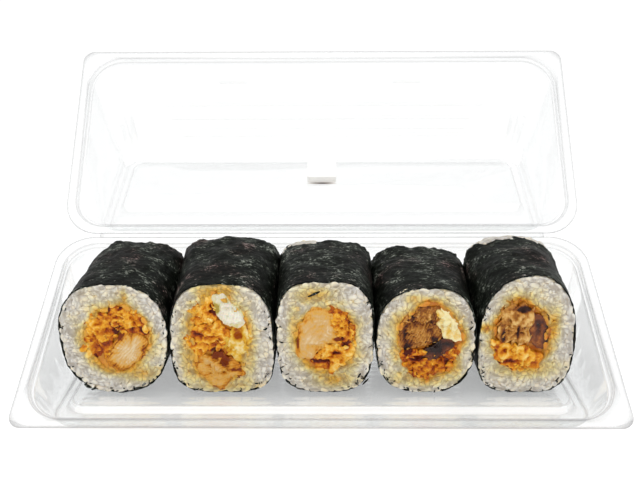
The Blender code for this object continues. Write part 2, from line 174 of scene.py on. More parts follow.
# Where else it has soaked up sauce: across, up, half width, half height, how strong
SOAKED = (
    ((10.4, 11.0, 8.0, 4.0, 0.5), (6.6, 47.0, 1.6, 5.0, 0.55), (-14.0, 28.0, 3.0, 6.0, 0.45),
     (17.0, 30.0, 2.5, 6.0, 0.3)),
    ((-14.7, 22.0, 4.0, 16.0, 0.5), (12.0, 25.0, 3.0, 13.0, 0.5), (0.0, 4.5, 13.0, 3.0, 0.45),
     (-12.0, 45.0, 3.0, 3.0, 0.3)),
    ((-4.7, 49.5, 8.0, 4.0, 0.5), (-13.5, 32.0, 3.0, 12.0, 0.45), (4.0, 8.0, 8.0, 4.0, 0.55),
     (6.0, 46.0, 6.0, 2.0, 0.25)),
    ((-1.0, 9.0, 13.0, 4.0, 0.5), (-12.6, 24.0, 3.0, 8.0, 0.5), (-6.0, 47.5, 4.0, 2.5, 0.45),
     (14.0, 16.0, 2.5, 8.0, 0.5)),
    ((0.3, 14.0, 12.0, 4.5, 0.55), (11.0, 34.0, 3.0, 9.0, 0.6), (-8.0, 47.0, 4.0, 3.0, 0.5),
     (-18.4, 33.6, 3.0, 2.2, 0.75)),
)

# Studio: floor, and lights with name, place, turn, size and watts
FLOOR_HALF = 30.0
FLOOR_DROP = 0.0004
LIGHTS = (("top light", (-0.15, -0.1, 0.9), (0.1, -0.15, 0), 0.7, 1.6),
          ("front light", (0.3, -0.9, 0.6), (1.0, 0.25, 0.2), 0.6, 1.2))
# The photograph's camera, its angles in degrees
CAMERA_PLACE = (0.0035, -0.2950, 0.1923)
CAMERA_LENS = 43.65
CAMERA_DOWN = 19.94
CAMERA_LEFT = 0.63
CAMERA_LEAN = 0.26


def paint(red, green, blue):
    """Linear colour of a screen colour given from 0 to 255."""
    share = np.array([red, green, blue]) / 255
    linear = np.where(share <= 0.04045, share / 12.92, ((share + 0.055) / 1.055) ** 2.4)
    return (*linear.tolist(), 1.0)


class Wire:
    """One output socket of a node; arithmetic with it adds Math nodes."""

    def __init__(self, finish, socket):
        self.finish = finish
        self.socket = socket

    def maths(self, operation, first, second, clamp=False):
        settings = {"operation": operation, "use_clamp": clamp}
        return self.finish.node("ShaderNodeMath", settings, {0: first, 1: second})

    def __add__(self, other):
        return self.maths("ADD", self, other)

    def __radd__(self, other):
        return self.maths("ADD", other, self)

    def __sub__(self, other):
        return self.maths("SUBTRACT", self, other)

    def __rsub__(self, other):
        return self.maths("SUBTRACT", other, self)

    def __mul__(self, other):
        return self.maths("MULTIPLY", self, other)

    def __rmul__(self, other):
        return self.maths("MULTIPLY", other, self)

    def clamped(self):
        return self.maths("ADD", self, 0.0, clamp=True)


class Finish:
    """A material, or the world, being made. Each call of node adds one node and gives one of its outputs."""

    def __init__(self, name, world=False):
        self.made = bpy.data.worlds.new(name) if world else bpy.data.materials.new(name)
        self.end = "ShaderNodeOutputWorld" if world else "ShaderNodeOutputMaterial"
        self.made.use_nodes = True
        self.tree = self.made.node_tree
        self.tree.nodes.clear()

    def node(self, kind, settings=None, sockets=None, out=0):
        """Adds a node: its settings first, a ramp's stops among them, then its sockets' values or links."""
        made = self.tree.nodes.new(kind)
        for key, value in (settings or {}).items():
            if key == "stops":
                elements = made.color_ramp.elements
                for _ in value[2:]:
                    elements.new(0.5)
                for element, (place, colour) in zip(elements, value):
                    element.position = place
                    element.color = colour
            else:
                setattr(made, key, value)
        usable = [socket for socket in made.inputs if socket.enabled]
        for key, value in (sockets or {}).items():
            socket = usable[key] if isinstance(key, int) else next(s for s in usable if s.name == key)
            if isinstance(value, Wire):
                self.tree.links.new(value.socket, socket)
            else:
                socket.default_value = value
        shown = [socket for socket in made.outputs if socket.enabled]
        if not shown:
            return None
        return Wire(self, shown[out] if isinstance(out, int) else next(s for s in shown if s.name == out))

    def place(self, stretch=(1, 1, 1), output="Object"):
        """The surface's own coordinates in metres, or its UV map, stretched along the axes."""
        source = self.node("ShaderNodeTexCoord", out=output)
        return self.node("ShaderNodeMapping", {}, {"Vector": source, "Scale": stretch})

    def noise(self, where, scale, detail=3.0, roughness=0.55):
        """Cloudy pattern from 0 to 1; scale is its waves in a metre."""
        return self.node("ShaderNodeTexNoise", {},
                         {"Vector": where, "Scale": scale, "Detail": detail, "Roughness": roughness})

    def attribute(self, name):
        """A number that the mesh stores at its points."""
        return self.node("ShaderNodeAttribute", {"attribute_name": name}, {}, out="Fac")

    def ramp(self, value, *stops):
        """Colour by value, through (place, colour) stops."""
        return self.node("ShaderNodeValToRGB", {"stops": stops}, {0: value})

    def mix(self, share, first, second, blend="MIX"):
        """Colour between first and second by share, or their product with blend MULTIPLY."""
        settings = {"data_type": "RGBA", "blend_type": blend}
        return self.node("ShaderNodeMix", settings, {"Factor": share, "A": first, "B": second})

    def bump(self, height, distance, strength=1.0):
        """Fine relief from a height pattern; distance is its depth in metres."""
        return self.node("ShaderNodeBump", {}, {"Height": height, "Distance": distance, "Strength": strength})

    def surface(self, sockets):
        """The material with one Principled shader that has these values or links."""
        return self.done(self.node("ShaderNodeBsdfPrincipled", {}, sockets))

    def done(self, shader):
        """Links the shader to the output and gives the material or world."""
        self.node(self.end, {}, {"Surface": shader})
        return self.made


def clear_finish():
    """Clear formed sheet: a faint mirror face on, and a painted grey where it is bent or cut, standing in for
    the darker reflection and refraction there.
    """
    made = Finish("clear formed sheet")
    crease = made.attribute("crease")
    haze = made.noise(made.place(), 60, 2)
    edge = made.node("ShaderNodeFresnel", {}, {"IOR": 1.4})
    share = (edge * 0.34 + crease * 0.34 + haze * 0.02).clamped()
    # Painted grey at folds and cut edges, standing in for darker reflection and refraction there
    colour = made.ramp(crease, (0.0, (0.97, 0.97, 0.97, 1)), (0.5, paint(214, 213, 214)),
                       (1.0, paint(150, 149, 151)))
    skin = made.node("ShaderNodeBsdfPrincipled", {},
                     {"Base Color": colour, "Roughness": 0.1, "IOR": 1.5,
                      "Metallic": (1.0 - crease * 1.8).clamped()})
    through = made.node("ShaderNodeBsdfTransparent", {}, {"Color": (0.985, 0.99, 0.99, 1)})
    return made.done(made.node("ShaderNodeMixShader", {}, {0: share, 1: through, 2: skin}))


def foam_finish():
    """Matte white foam with fine grain."""
    made = Finish("white foam")
    grain = made.noise(made.place(), 1400, 2)
    colour = made.ramp(grain, (0.3, paint(250, 250, 247)), (0.7, paint(255, 255, 253)))
    return made.surface({"Base Color": colour, "Roughness": 0.75, "Normal": made.bump(grain, 0.0001)})


def pad_shadow_finish():
    """A painted contact shadow along the pad's lower edge, where it meets the lid's panel: brown-grey,
    darkest in the middle.
    """
    made = Finish("painted pad shadow")
    colour = made.ramp(made.attribute("middle") + made.noise(made.place(), 900, 2) * 0.2 - 0.1,
                       (0.1, paint(226, 220, 214)), (0.5, paint(168, 158, 152)), (0.9, paint(96, 86, 80)))
    return made.surface({"Base Color": colour, "Roughness": 0.6})


def nori_finish():
    """Dried seaweed sheet: near-black green with lighter fibres round the roll, their lightest end partly a
    painted sheen, and brown patches.
    """
    made = Finish("nori sheet")
    fibre = made.noise(made.place((330, 900, 1), "UV"), 1.0, 4, 0.66)
    speck = made.noise(made.place((900, 1300, 1), "UV"), 1.0, 3, 0.6)
    broad = made.noise(made.place(), 130, 3, 0.6)
    patch = made.noise(made.place(), 55, 3, 0.5)
    # Fibre streaks: the dark end is the sheet's own colour, the light grey-green end is partly painted sheen
    fibres_and_sheen = made.ramp(fibre * 0.4 + speck * 0.3 + broad * 0.3, (0.43, paint(3, 5, 2)),
                       (0.50, paint(13, 17, 11)), (0.55, paint(38, 43, 36)), (0.60, paint(140, 144, 134)))
    brown = made.ramp(patch, (0.50, (0, 0, 0, 1)), (0.66, (1, 1, 1, 1)))
    colour = made.mix(brown, fibres_and_sheen, made.mix(1.0, fibres_and_sheen, paint(255, 205, 215), "MULTIPLY"))
    rough = 0.68 - fibre * 0.3
    relief = made.bump(fibre * 0.7 + speck * 0.5, 0.00022, 0.9)
    return made.surface({"Base Color": colour, "Roughness": rough, "Normal": relief,
                         "Specular IOR Level": 0.09})


def rice_finish():
    """Moist cooked rice: pearly grains, yellow to brown where sauce has soaked in."""
    made = Finish("cooked rice")
    where = made.place()
    soak = made.attribute("soak")
    own = made.attribute("shade")
    cloud = made.noise(where, 420, 3)
    stain = (soak + (cloud - 0.5) * 0.35 * (soak * 2.0).clamped()).clamped()
    tint = made.ramp(stain, (0.0, paint(248, 235, 217)), (0.25, paint(246, 218, 152)),
                     (0.55, paint(236, 170, 60)), (0.80, paint(186, 94, 14)), (1.0, paint(108, 38, 2)))
    pearl = made.ramp(own * 0.6 + cloud * 0.4, (0.2, paint(233, 229, 224)), (0.7, paint(255, 255, 253)))
    colour = made.mix(1.0, tint, pearl, "MULTIPLY")
    relief = made.bump(made.noise(where, 1500, 3), 0.00012, 0.6)
    return made.surface({"Base Color": colour, "Roughness": 0.34, "Normal": relief, "Specular IOR Level": 0.3,
                         "Subsurface Weight": 0.6, "Subsurface Radius": (1.0, 0.85, 0.65),
                         "Subsurface Scale": 0.0022})


def food_finish(name, stops, roughness, grain, stretch=(1, 1, 1), soft=0.15, wet=0.2, depth=0.0005):
    """A filling: colour by the mesh's tone value, broken up by a pattern on its own flat coordinates."""
    made = Finish(name)
    tone = made.attribute("tone")
    pattern = made.noise(made.place(stretch, "UV"), grain, 5, 0.66)
    flecks = made.noise(made.place(), grain * 2.2, 4, 0.65)
    value = (tone + (pattern - 0.5) * 0.6 + (flecks - 0.5) * 0.4).clamped()
    colour = made.ramp(value, *stops)
    relief = made.bump(pattern * 0.7 + flecks * 0.6, depth, 1.0)
    return made.surface({"Base Color": colour, "Roughness": roughness, "Normal": relief,
                         "Subsurface Weight": soft, "Subsurface Radius": (1.0, 0.6, 0.3),
                         "Subsurface Scale": 0.0012, "Specular IOR Level": wet})


def food_finishes():
    """One finish for each kind of filling."""
    return {
        "batter": food_finish("sauced fried batter", (
            (0.0, paint(80, 16, 0)), (0.2, paint(152, 60, 0)), (0.42, paint(204, 120, 8)),
            (0.64, paint(232, 168, 44)), (1.0, paint(248, 220, 136))), 0.3, 420),
        "chicken": food_finish("cut chicken", (
            (0.0, paint(118, 44, 0)), (0.22, paint(200, 128, 24)), (0.45, paint(218, 166, 76)),
            (0.68, paint(212, 170, 108)), (1.0, paint(226, 202, 160))), 0.35, 420, (1, 3.5, 1)),
        "cabbage": food_finish("steamed cabbage", (
            (0.0, paint(170, 146, 60)), (0.3, paint(212, 202, 148)), (0.55, paint(222, 214, 192)),
            (1.0, paint(242, 238, 224))), 0.25, 260, (1, 3, 1), soft=0.35),
        "egg": food_finish("soft egg", (
            (0.0, paint(156, 72, 0)), (0.3, paint(204, 142, 16)), (0.6, paint(222, 178, 62)),
            (1.0, paint(238, 224, 172))), 0.35, 320),
        "meat": food_finish("sauced meat", (
            (0.0, paint(40, 8, 0)), (0.25, paint(98, 42, 2)), (0.5, paint(150, 90, 24)),
            (0.75, paint(190, 132, 54)), (1.0, paint(224, 182, 112))), 0.3, 420, (1, 3, 1), wet=0.25),
        "sauce": food_finish("thick dark sauce", (
            (0.0, paint(30, 4, 0)), (0.35, paint(78, 30, 4)), (0.65, paint(124, 62, 14)),
            (1.0, paint(188, 118, 46))), 0.2, 300, wet=0.35, depth=0.0001),
    }


LATTICE_PRIMES = np.array([73856093, 19349663, 83492791])
SEED_PRIME = 961748927


def noise_value(points, size, seed=0):
    """Smooth random number from -1 to 1 at each point.

    Random numbers on a cubic lattice of the given size, blended with an S-curve between the
    eight corners of each cell.
    """
    place = points / size
    cell = np.floor(place).astype(np.int64)
    share = place - cell
    share = share * share * (3 - 2 * share)
    total = np.zeros(points.shape[:-1])
    for corner in itertools.product((0, 1), repeat=3):
        mixed = np.bitwise_xor.reduce((cell + np.array(corner)) * LATTICE_PRIMES, axis=-1)
        mixed = mixed ^ (seed * SEED_PRIME)
        mixed = ((mixed ^ (mixed >> 13)) * 1274126177) & 0xFFFFFFFF
        value = ((mixed ^ (mixed >> 15)) & 0xFFFF) / 32767.5 - 1
        total += value * np.where(np.array(corner), share, 1 - share).prod(-1)
    return total


def cloud_value(points, size, seed=0, octaves=3):
    """Sum of smooth random values, each half as large and half as strong as the one before."""
    return sum(noise_value(points, size / 2 ** octave, seed + octave) / 2 ** octave
               for octave in range(octaves))


def unit(vectors):
    """Vectors of length one."""
    return vectors / np.maximum(np.linalg.norm(vectors, axis=-1, keepdims=True), 1e-12)


def joined(*coordinates):
    """Points, or rows of corner numbers, from their columns; a single number fills a whole column."""
    return np.stack(np.broadcast_arrays(*coordinates), axis=-1)


def grid_normals(rows):
    """Normal at each point of a grid of closed rows, from the steps along and across it."""
    across = np.roll(rows, -1, axis=1) - np.roll(rows, 1, axis=1)
    return unit(np.cross(across, np.gradient(rows, axis=0)))


def quad_faces(row_count, column_count, looped=False):
    """Corner numbers of the faces of a grid of closed rows; looped joins its last row to its first."""
    here = np.arange(column_count)
    there = (here + 1) % column_count
    row = np.arange(row_count if looped else row_count - 1)[:, None]
    start, following = row * column_count, (row + 1) % row_count * column_count
    return joined(start + here, start + there, following + there, following + here).reshape(-1, 4)


def capped_faces(row_count, column_count):
    """Quads and triangles of a grid of closed rows between two poles, its first and its last point."""
    here = np.arange(column_count)
    there = (here + 1) % column_count
    last = 1 + (row_count - 1) * column_count
    caps = joined(0, 1 + there, 1 + here), joined(last + column_count, last + here, last + there)
    return [quad_faces(row_count, column_count) + 1, np.concatenate(caps)]


def make_piece(name, points, faces, finish, values=None, flat=None):
    """A mesh object at the origin: points, groups of faces, numbers at its points, and a UV map."""
    mesh = bpy.data.meshes.new(name)
    mesh.from_pydata(points.reshape(-1, 3).tolist(), [], [face for group in faces for face in group.tolist()])
    for key, value in (values or {}).items():
        mesh.attributes.new(key, "FLOAT", "POINT").data.foreach_set("value", value.astype(np.float32).ravel())
    if flat is not None:
        corner = np.empty(len(mesh.loops), np.int32)
        mesh.loops.foreach_get("vertex_index", corner)
        places = flat.reshape(-1, 2)[corner].astype(np.float32)
        mesh.uv_layers.new(name="flat").data.foreach_set("uv", places.ravel())
    mesh.materials.append(finish)
    mesh.shade_smooth()
    mesh.update()
    made = bpy.data.objects.new(name, mesh)
    bpy.context.scene.collection.objects.link(made)
    return made


def turn_outwards(made):
    """Turns the faces of a closed mesh so that its volume, summed over its faces, is above zero."""
    mesh = made.data
    mesh.calc_loop_triangles()
    corners = np.empty(len(mesh.loop_triangles) * 3, np.int32)
    mesh.loop_triangles.foreach_get("vertices", corners)
    places = mesh_points(mesh)
    a, b, c = (places[corners.reshape(-1, 3)[:, side]] for side in range(3))
    if (a * np.cross(b, c)).sum() < 0:
        mesh.flip_normals()


def mesh_points(mesh):
    """A mesh's points as rows of x, y and z."""
    places = np.empty(len(mesh.vertices) * 3, np.float32)
    mesh.vertices.foreach_get("co", places)
    return places.reshape(-1, 3).astype(float)


def place_piece(made, body, slot, *nodes, closed=True):
    """Turns a closed piece's faces outwards; it rides on its body and stands for nodes. slot: not used."""
    if closed:
        turn_outwards(made)
    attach(made, body)
    if nodes:
        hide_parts(*nodes)


def on_rim(along, above):
    """(y, z) of a point so far along the closed pack's slanted rim plane and so far above it."""
    return (along * math.cos(RIM_SLANT) - above * math.sin(RIM_SLANT) - FOOT_Y,
            along * math.sin(RIM_SLANT) + above * math.cos(RIM_SLANT) + FRONT_RIM_HEIGHT)


def level(y, z):
    """(y, z) of a point given by its depth from the front rim edge and its height."""
    return y - FOOT_Y, z


def rounded_loop(half_width, front, back, front_radius, back_radius):
    """A rounded rectangle in the plane through two edges parallel to X, given by their (y, z).

    Four arcs with even straight stretches between them, from the back right corner on.
    """
    front, back = np.array(front), np.array(back)
    length = np.linalg.norm(back - front)
    corners = (
        (half_width - back_radius, length - back_radius, back_radius, 0),
        (back_radius - half_width, length - back_radius, back_radius, 90),
        (front_radius - half_width, front_radius, front_radius, 180),
        (half_width - front_radius, front_radius, front_radius, 270),
    )
    arcs = []
    for middle_x, middle_s, radius, start in corners:
        turn = np.radians(start + np.linspace(0, 90, CORNER_STEPS + 1))
        arcs.append(joined(middle_x + radius * np.cos(turn), middle_s + radius * np.sin(turn)))
    flat = []
    for number, steps in enumerate((LONG_STEPS, SHORT_STEPS, LONG_STEPS, SHORT_STEPS)):
        arc, following = arcs[number], arcs[(number + 1) % 4][0]
        share = np.linspace(0, 1, steps + 1)[1:-1, None]
        flat += [arc, arc[-1] * (1 - share) + following * share]
    flat = np.concatenate(flat)
    rise = front + (flat[:, 1:] / length) * (back - front)
    return np.concatenate([flat[:, :1], rise], axis=1)


def rim_loops(side):
    """The flange and snap step that base and lid share: side is -1 below the rim, 1 above it."""
    back = RIM_DEPTH - HINGE_CLEARANCE
    half = RIM_WIDTH / 2
    steps = ((0.15 * MM, RIM_GAP + 0.1 * MM, 6 * MM, 17 * MM),
             (FLANGE * 0.45, RIM_GAP + 0.1 * MM, 12 * MM, 16 * MM),
             (FLANGE, RIM_GAP, 18 * MM, 15 * MM),
             (FLANGE + 0.6 * MM, SNAP_HEIGHT, 17.5 * MM, 14.5 * MM),
             (FLANGE + 1.8 * MM, SNAP_HEIGHT + 0.2 * MM, 16.5 * MM, 13.5 * MM))
    return [rounded_loop(half - inset, on_rim(inset, side * height), on_rim(back - inset, side * height),
                         front_radius, back_radius)
            for inset, height, front_radius, back_radius in steps]


def fold_share(length, radius):
    """Share of a wall that the fold at its end takes up."""
    return np.minimum(radius / np.maximum(length, 1e-9), 0.4)


def fold_rows(keys, radius, wall_steps):
    """Rows of a formed sheet through key loops: a quadratic curve round each fold, straight between.

    Each fold starts and ends a radius away from the key point, or at 0.4 of the shorter neighbour.
    A row's wall number and its share down that wall come back with it.
    """
    rows, walls, shares = [keys[0]], [0], [0.0]
    for number in range(1, len(keys)):
        before, here = keys[number - 1], keys[number]
        length = np.linalg.norm(here - before, axis=1, keepdims=True)
        last = number == len(keys) - 1
        start_cut = 0 if number == 1 else fold_share(length, radius)
        end_cut = 0 if last else fold_share(length, radius)
        steps = wall_steps[number - 1]
        for step in range(1 if number == 1 else 0, steps + 1):
            share = start_cut + (1 - start_cut - end_cut) * step / steps
            rows.append(before + (here - before) * share)
            walls.append(number - 1)
            shares.append(float(np.mean(share)))
        if not last:
            after = keys[number + 1]
            onward = np.linalg.norm(after - here, axis=1, keepdims=True)
            leave, enter = rows[-1], here + (after - here) * fold_share(onward, radius)
            for share in (0.25, 0.5, 0.75):
                rows.append((1 - share) ** 2 * leave + 2 * share * (1 - share) * here + share ** 2 * enter)
                walls.append(number)
                shares.append(0.0)
    return np.array(rows), np.array(walls), np.array(shares)


def crease_shade_value(rows):
    """How much painted grey each point gets, from how sharply the sheet bends there: the turn of its normal
    to the next row and column.
    """
    normals = grid_normals(rows)
    turn = np.zeros(rows.shape[:2])
    for step, axis in ((1, 0), (-1, 0), (1, 1), (-1, 1)):
        other = np.roll(normals, step, axis=axis)
        apart = np.linalg.norm(rows - np.roll(rows, step, axis=axis), axis=-1)
        bend = np.arccos(np.clip((normals * other).sum(-1), -1, 1)) / np.maximum(apart, 0.25 * MM)
        if axis == 0:
            bend[0 if step == 1 else -1] = 0
        turn = np.maximum(turn, bend)
    crease = np.clip(turn / FULL_CREASE, 0, 1)
    crease[0] = np.maximum(crease[0], CUT_EDGE_CREASE)
    return crease


def bump_at(value, centre, width):
    """Smooth bump of height 1 at a centre, near 0 beyond twice the width."""
    return np.exp(-((value - centre) / width) ** 2)


def inset_loops(half_width, front, back, radius, count):
    """Loops from near a rounded panel's edge to its middle line, for a flat panel with relief."""
    front, back = np.array(front), np.array(back)
    depth = np.linalg.norm(back - front)
    loops = []
    for inset in np.linspace(0, depth / 2 - 0.4 * MM, count + 1)[1:]:
        share = inset / depth
        near, far = front + (back - front) * share, back + (front - back) * share
        small = max(min(radius - inset, depth / 2 - inset), 0.3 * MM)
        loops.append(rounded_loop(half_width - inset, near, far, small, small))
    return loops


def clear_piece(name, rows, body, finish, node):
    """A clear sheet through the rows, closed over the last one, with its thickness on both sides."""
    count, columns = rows.shape[:2]
    cap = np.arange((count - 1) * columns, count * columns)[None]
    made = make_piece(name, rows, [quad_faces(count, columns), cap], finish, {"crease": crease_shade_value(rows)})
    wall = made.modifiers.new("thickness", "SOLIDIFY")
    wall.thickness = CLEAR_SHEET
    wall.offset = 0
    place_piece(made, body, "clear_plastic", node, closed=False)


def base_rows():
    """Rows of the base: rim, snap step, sloping wall, foot band, platform with ribs across it."""
    middle = CLEAR_SHEET / 2 + 0.1 * MM
    keys = rim_loops(-1)
    keys.append(rounded_loop(FOOT_HALF_WIDTH, level(FOOT_FRONT, middle), level(FOOT_BACK, middle),
                             14 * MM, 12 * MM))
    foot_inset = 2.5 * MM
    keys.append(rounded_loop(PLATFORM_HALF_WIDTH + foot_inset / 2, level(PLATFORM_FRONT - foot_inset, middle),
                             level(PLATFORM_BACK + foot_inset / 2, middle), 10 * MM, 9 * MM))
    platform = PLATFORM_TOP - 0.3 * MM
    keys.append(rounded_loop(PLATFORM_HALF_WIDTH, level(PLATFORM_FRONT, platform),
                             level(PLATFORM_BACK, platform), 9 * MM, 8 * MM))
    inner = inset_loops(PLATFORM_HALF_WIDTH, level(PLATFORM_FRONT, platform),
                        level(PLATFORM_BACK, platform), 9 * MM, 30)
    keys.append(inner[0])
    rows, walls, shares = fold_rows(np.array(keys), 0.7 * MM, (1, 1, 2, 1, 18, 4, 2, 1))
    wall = walls == 4
    normals = grid_normals(rows)
    flutes = np.sin(np.arange(rows.shape[1]) * 2 * math.pi / 5)
    side = np.clip((np.abs(rows[..., 0]) - 116 * MM) / (4 * MM), 0, 1)
    fade = np.where(wall, np.sin(np.pi * np.clip(shares, 0, 1)), 0)[:, None]
    rows = rows + normals * (0.25 * MM * flutes[None, :] * side * fade)[..., None]
    rows = np.concatenate([rows, np.array(inner[1:])])
    ribbed = rows[..., 2] > platform - 0.05 * MM
    ribbed &= (np.abs(rows[..., 0]) < PLATFORM_HALF_WIDTH - 6 * MM) & (rows[..., 2] < platform + 0.05 * MM)
    wave = 0.5 - 0.5 * np.cos(2 * math.pi * rows[..., 1] / (4 * MM))
    rows[..., 2] -= np.where(ribbed, 0.3 * MM * wave, 0)
    return rows


def lid_rows():
    """Rows of the closed lid: rim, snap step, ribbed wall, rounded shoulder, panel with a recess."""
    keys = rim_loops(1)
    top = PANEL_HEIGHT
    fillet = ((3.5 * MM, 3.7 * MM, 12 * MM, 9 * MM), (2.3 * MM, 1.3 * MM, 10.5 * MM, 8 * MM),
              (0, 0, 9 * MM, 7 * MM))
    for out, down, front_radius, back_radius in fillet:
        keys.append(rounded_loop(PANEL_HALF_WIDTH + out, level(PANEL_FRONT - out, top - down),
                                 level(PANEL_BACK + out * 0.66, top - down), front_radius, back_radius))
    for inset, down in ((0, 0), (RECESS_DEPTH, RECESS_DEPTH)):
        margin = RECESS_MARGIN + inset
        keys.append(rounded_loop(PANEL_HALF_WIDTH - margin, level(PANEL_FRONT + margin, top - down),
                                 level(RECESS_BACK - inset, top - down), 6 * MM, 6 * MM))
    rows, walls, shares = fold_rows(np.array(keys), 0.8 * MM, (1, 1, 2, 1, 78, 2, 2, 3, 2))
    wall = (walls == 4)[:, None]
    x = rows[..., 0]
    column = np.arange(rows.shape[1])
    corner_columns = CORNER_STEPS + 1
    front_start = 2 * corner_columns + LONG_STEPS - 1 + SHORT_STEPS - 1
    front_end = front_start + 2 * corner_columns + LONG_STEPS - 1
    front = (column >= front_start) & (column < front_end)
    along = shares[:, None] * np.ones_like(x)
    relief = np.zeros_like(x)
    for centre, width, depth, middle, reach, fade in LID_LINES:
        window = np.clip((reach * MM - np.abs(x - middle * MM)) / (fade * MM), 0, 1)
        relief += depth * MM * bump_at(along, centre, width) * window * front
    arc = np.abs(np.abs(x) - 103 * MM) < 13 * MM
    flutes = np.sin(column * 2 * math.pi / 4.4)
    bulge = np.clip(np.sin(math.pi * (along - 0.35) / 0.6), 0, 1)
    relief += 0.35 * MM * flutes[None, :] * arc * front * bulge
    return rows + grid_normals(rows) * np.where(wall, relief, 0)[..., None]


def swing_open(points):
    """Turns points of the closed lid about the hinge line to where the open lid is."""
    hinge = np.array(frame["joints"][0]["pos_m"])
    turned = np.array(Matrix.Rotation(-LID_OPEN, 3, "X"))
    return (points - hinge) @ turned.T + hinge


def hinge_film(finish):
    """The film that joins base and lid: a flat closed strip along a curve from one rim edge to the other."""
    hinge = np.array(frame["joints"][0]["pos_m"])
    reach, gap = RIM_DEPTH - HINGE_CLEARANCE - 0.6 * MM, RIM_GAP + 0.1 * MM
    edge = np.array([0, *on_rim(reach, -gap)])
    lid_edge = swing_open(np.array([0, *on_rim(reach, gap)]))
    share = np.linspace(0, 1, 9)[:, None]
    path = edge * (1 - share) ** 2 + 2 * share * (1 - share) * hinge + lid_edge * share ** 2
    lift = unit(np.cross([1, 0, 0], np.gradient(path, axis=0))) * FILM / 2
    ring = np.concatenate([path + lift, (path - lift)[::-1]])
    half = RIM_WIDTH / 2 - FILM_MARGIN
    rows = ring + np.linspace(-half, half, 60)[:, None, None] * [1, 0, 0]
    count, columns = rows.shape[:2]
    ends = np.stack([np.arange(columns)[::-1], np.arange(columns) + (count - 1) * columns])
    faces = [quad_faces(count, columns), ends]
    # The film gets an even painted grey, as at the sheet's folds
    made = make_piece("hinge_film", rows, faces, finish, {"crease": np.full(rows.shape[:2], 0.25)})
    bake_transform(made)


def roll_box(index):
    """Lowest and highest corner of a roll's nori solid."""
    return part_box(f"nori_{index + 1}")


def roll_middle(index):
    """Middle line across, foot height and size of a roll, from its nori solid."""
    low, high = roll_box(index)
    return (low.x + high.x) / 2, low.z, (high.x - low.x) / 2, high.z - low.z - ROLLS[index]["rise"] * MM


def roll_outline(index, turn, grow=0.0, rise=0.0, part=0.0):
    """Outline of a roll as (x, z) at the given turns: four quarters of superellipses on a waist line.

    Towards the back, where part is 1, the sides go straight up over a share of the upper half.
    """
    roll = ROLLS[index]
    middle, foot, half_width, height = roll_middle(index)
    waist = foot + roll["waist"] * MM
    straight, side_end = BACK_STRAIGHT * part, BACK_STRAIGHT_END * part
    across, up = np.cos(turn), np.sin(turn)
    over = np.clip((up - side_end) / (1 - side_end), 0, 1)
    beside = np.where(up >= 0, np.sqrt(1 - over ** 2), np.abs(across))
    power = np.where(up >= 0, roll["top"], roll["bottom"])
    x = np.sign(across) * beside ** (2 / power) * (half_width + grow)
    above, below = foot + height + rise - waist + grow, waist - foot + grow
    dome = over ** (2 / power) * above * (1 - straight)
    upright = above * straight * np.clip(up / np.maximum(side_end, 0.001), 0, 1)
    z = np.where(up >= 0, dome + upright, -np.abs(up) ** (2 / power) * below)
    return joined(x + middle, z + waist)


def roll_level(index, x, z):
    """How far out a place on a cut face is: 0 in the middle, 1 at the nori."""
    roll = ROLLS[index]
    middle, foot, half_width, height = roll_middle(index)
    waist = foot + roll["waist"] * MM
    upper = z >= waist
    power = np.where(upper, roll["top"], roll["bottom"])
    tall = np.where(upper, foot + height - waist, waist - foot) - NORI
    across, up = np.abs((x - middle) / (half_width - NORI)), np.abs((z - waist) / tall)
    return (across ** power + up ** power) ** (1 / power)


def pocket_level(index, x, z):
    """How far out a place is from the pocket's middle: 1 on the pocket's edge."""
    across, up, half_width, half_height = POCKETS[index]
    middle = roll_middle(index)[0] + across * MM
    far = np.hypot((x - middle) / (half_width * MM), (z - PLATFORM_TOP - up * MM) / (half_height * MM))
    return far * (1 + 0.16 * noise_value(joined(x, 0, z), 8 * MM, 91 + index))


def even_turns(index, count):
    """Turns that step evenly along a roll's outline."""
    turn = np.linspace(0, 2 * math.pi, 2001)
    step = np.linalg.norm(np.diff(roll_outline(index, turn), axis=0), axis=1)
    travelled = np.concatenate([[0], np.cumsum(step)])
    return np.interp(np.arange(count) / count * travelled[-1], travelled, turn), travelled[-1]


def narrowed(index, x, share):
    """Places across a roll moved to or from its middle line, the more so the nearer the back."""
    middle = roll_middle(index)[0]
    moved = x
    for side, narrowing in zip((-1, 1), NARROWING[index]):
        half = np.clip((x - middle) * side / NARROWING_REACH, 0, 1)
        moved = moved - side * narrowing * MM * share * half
    return moved


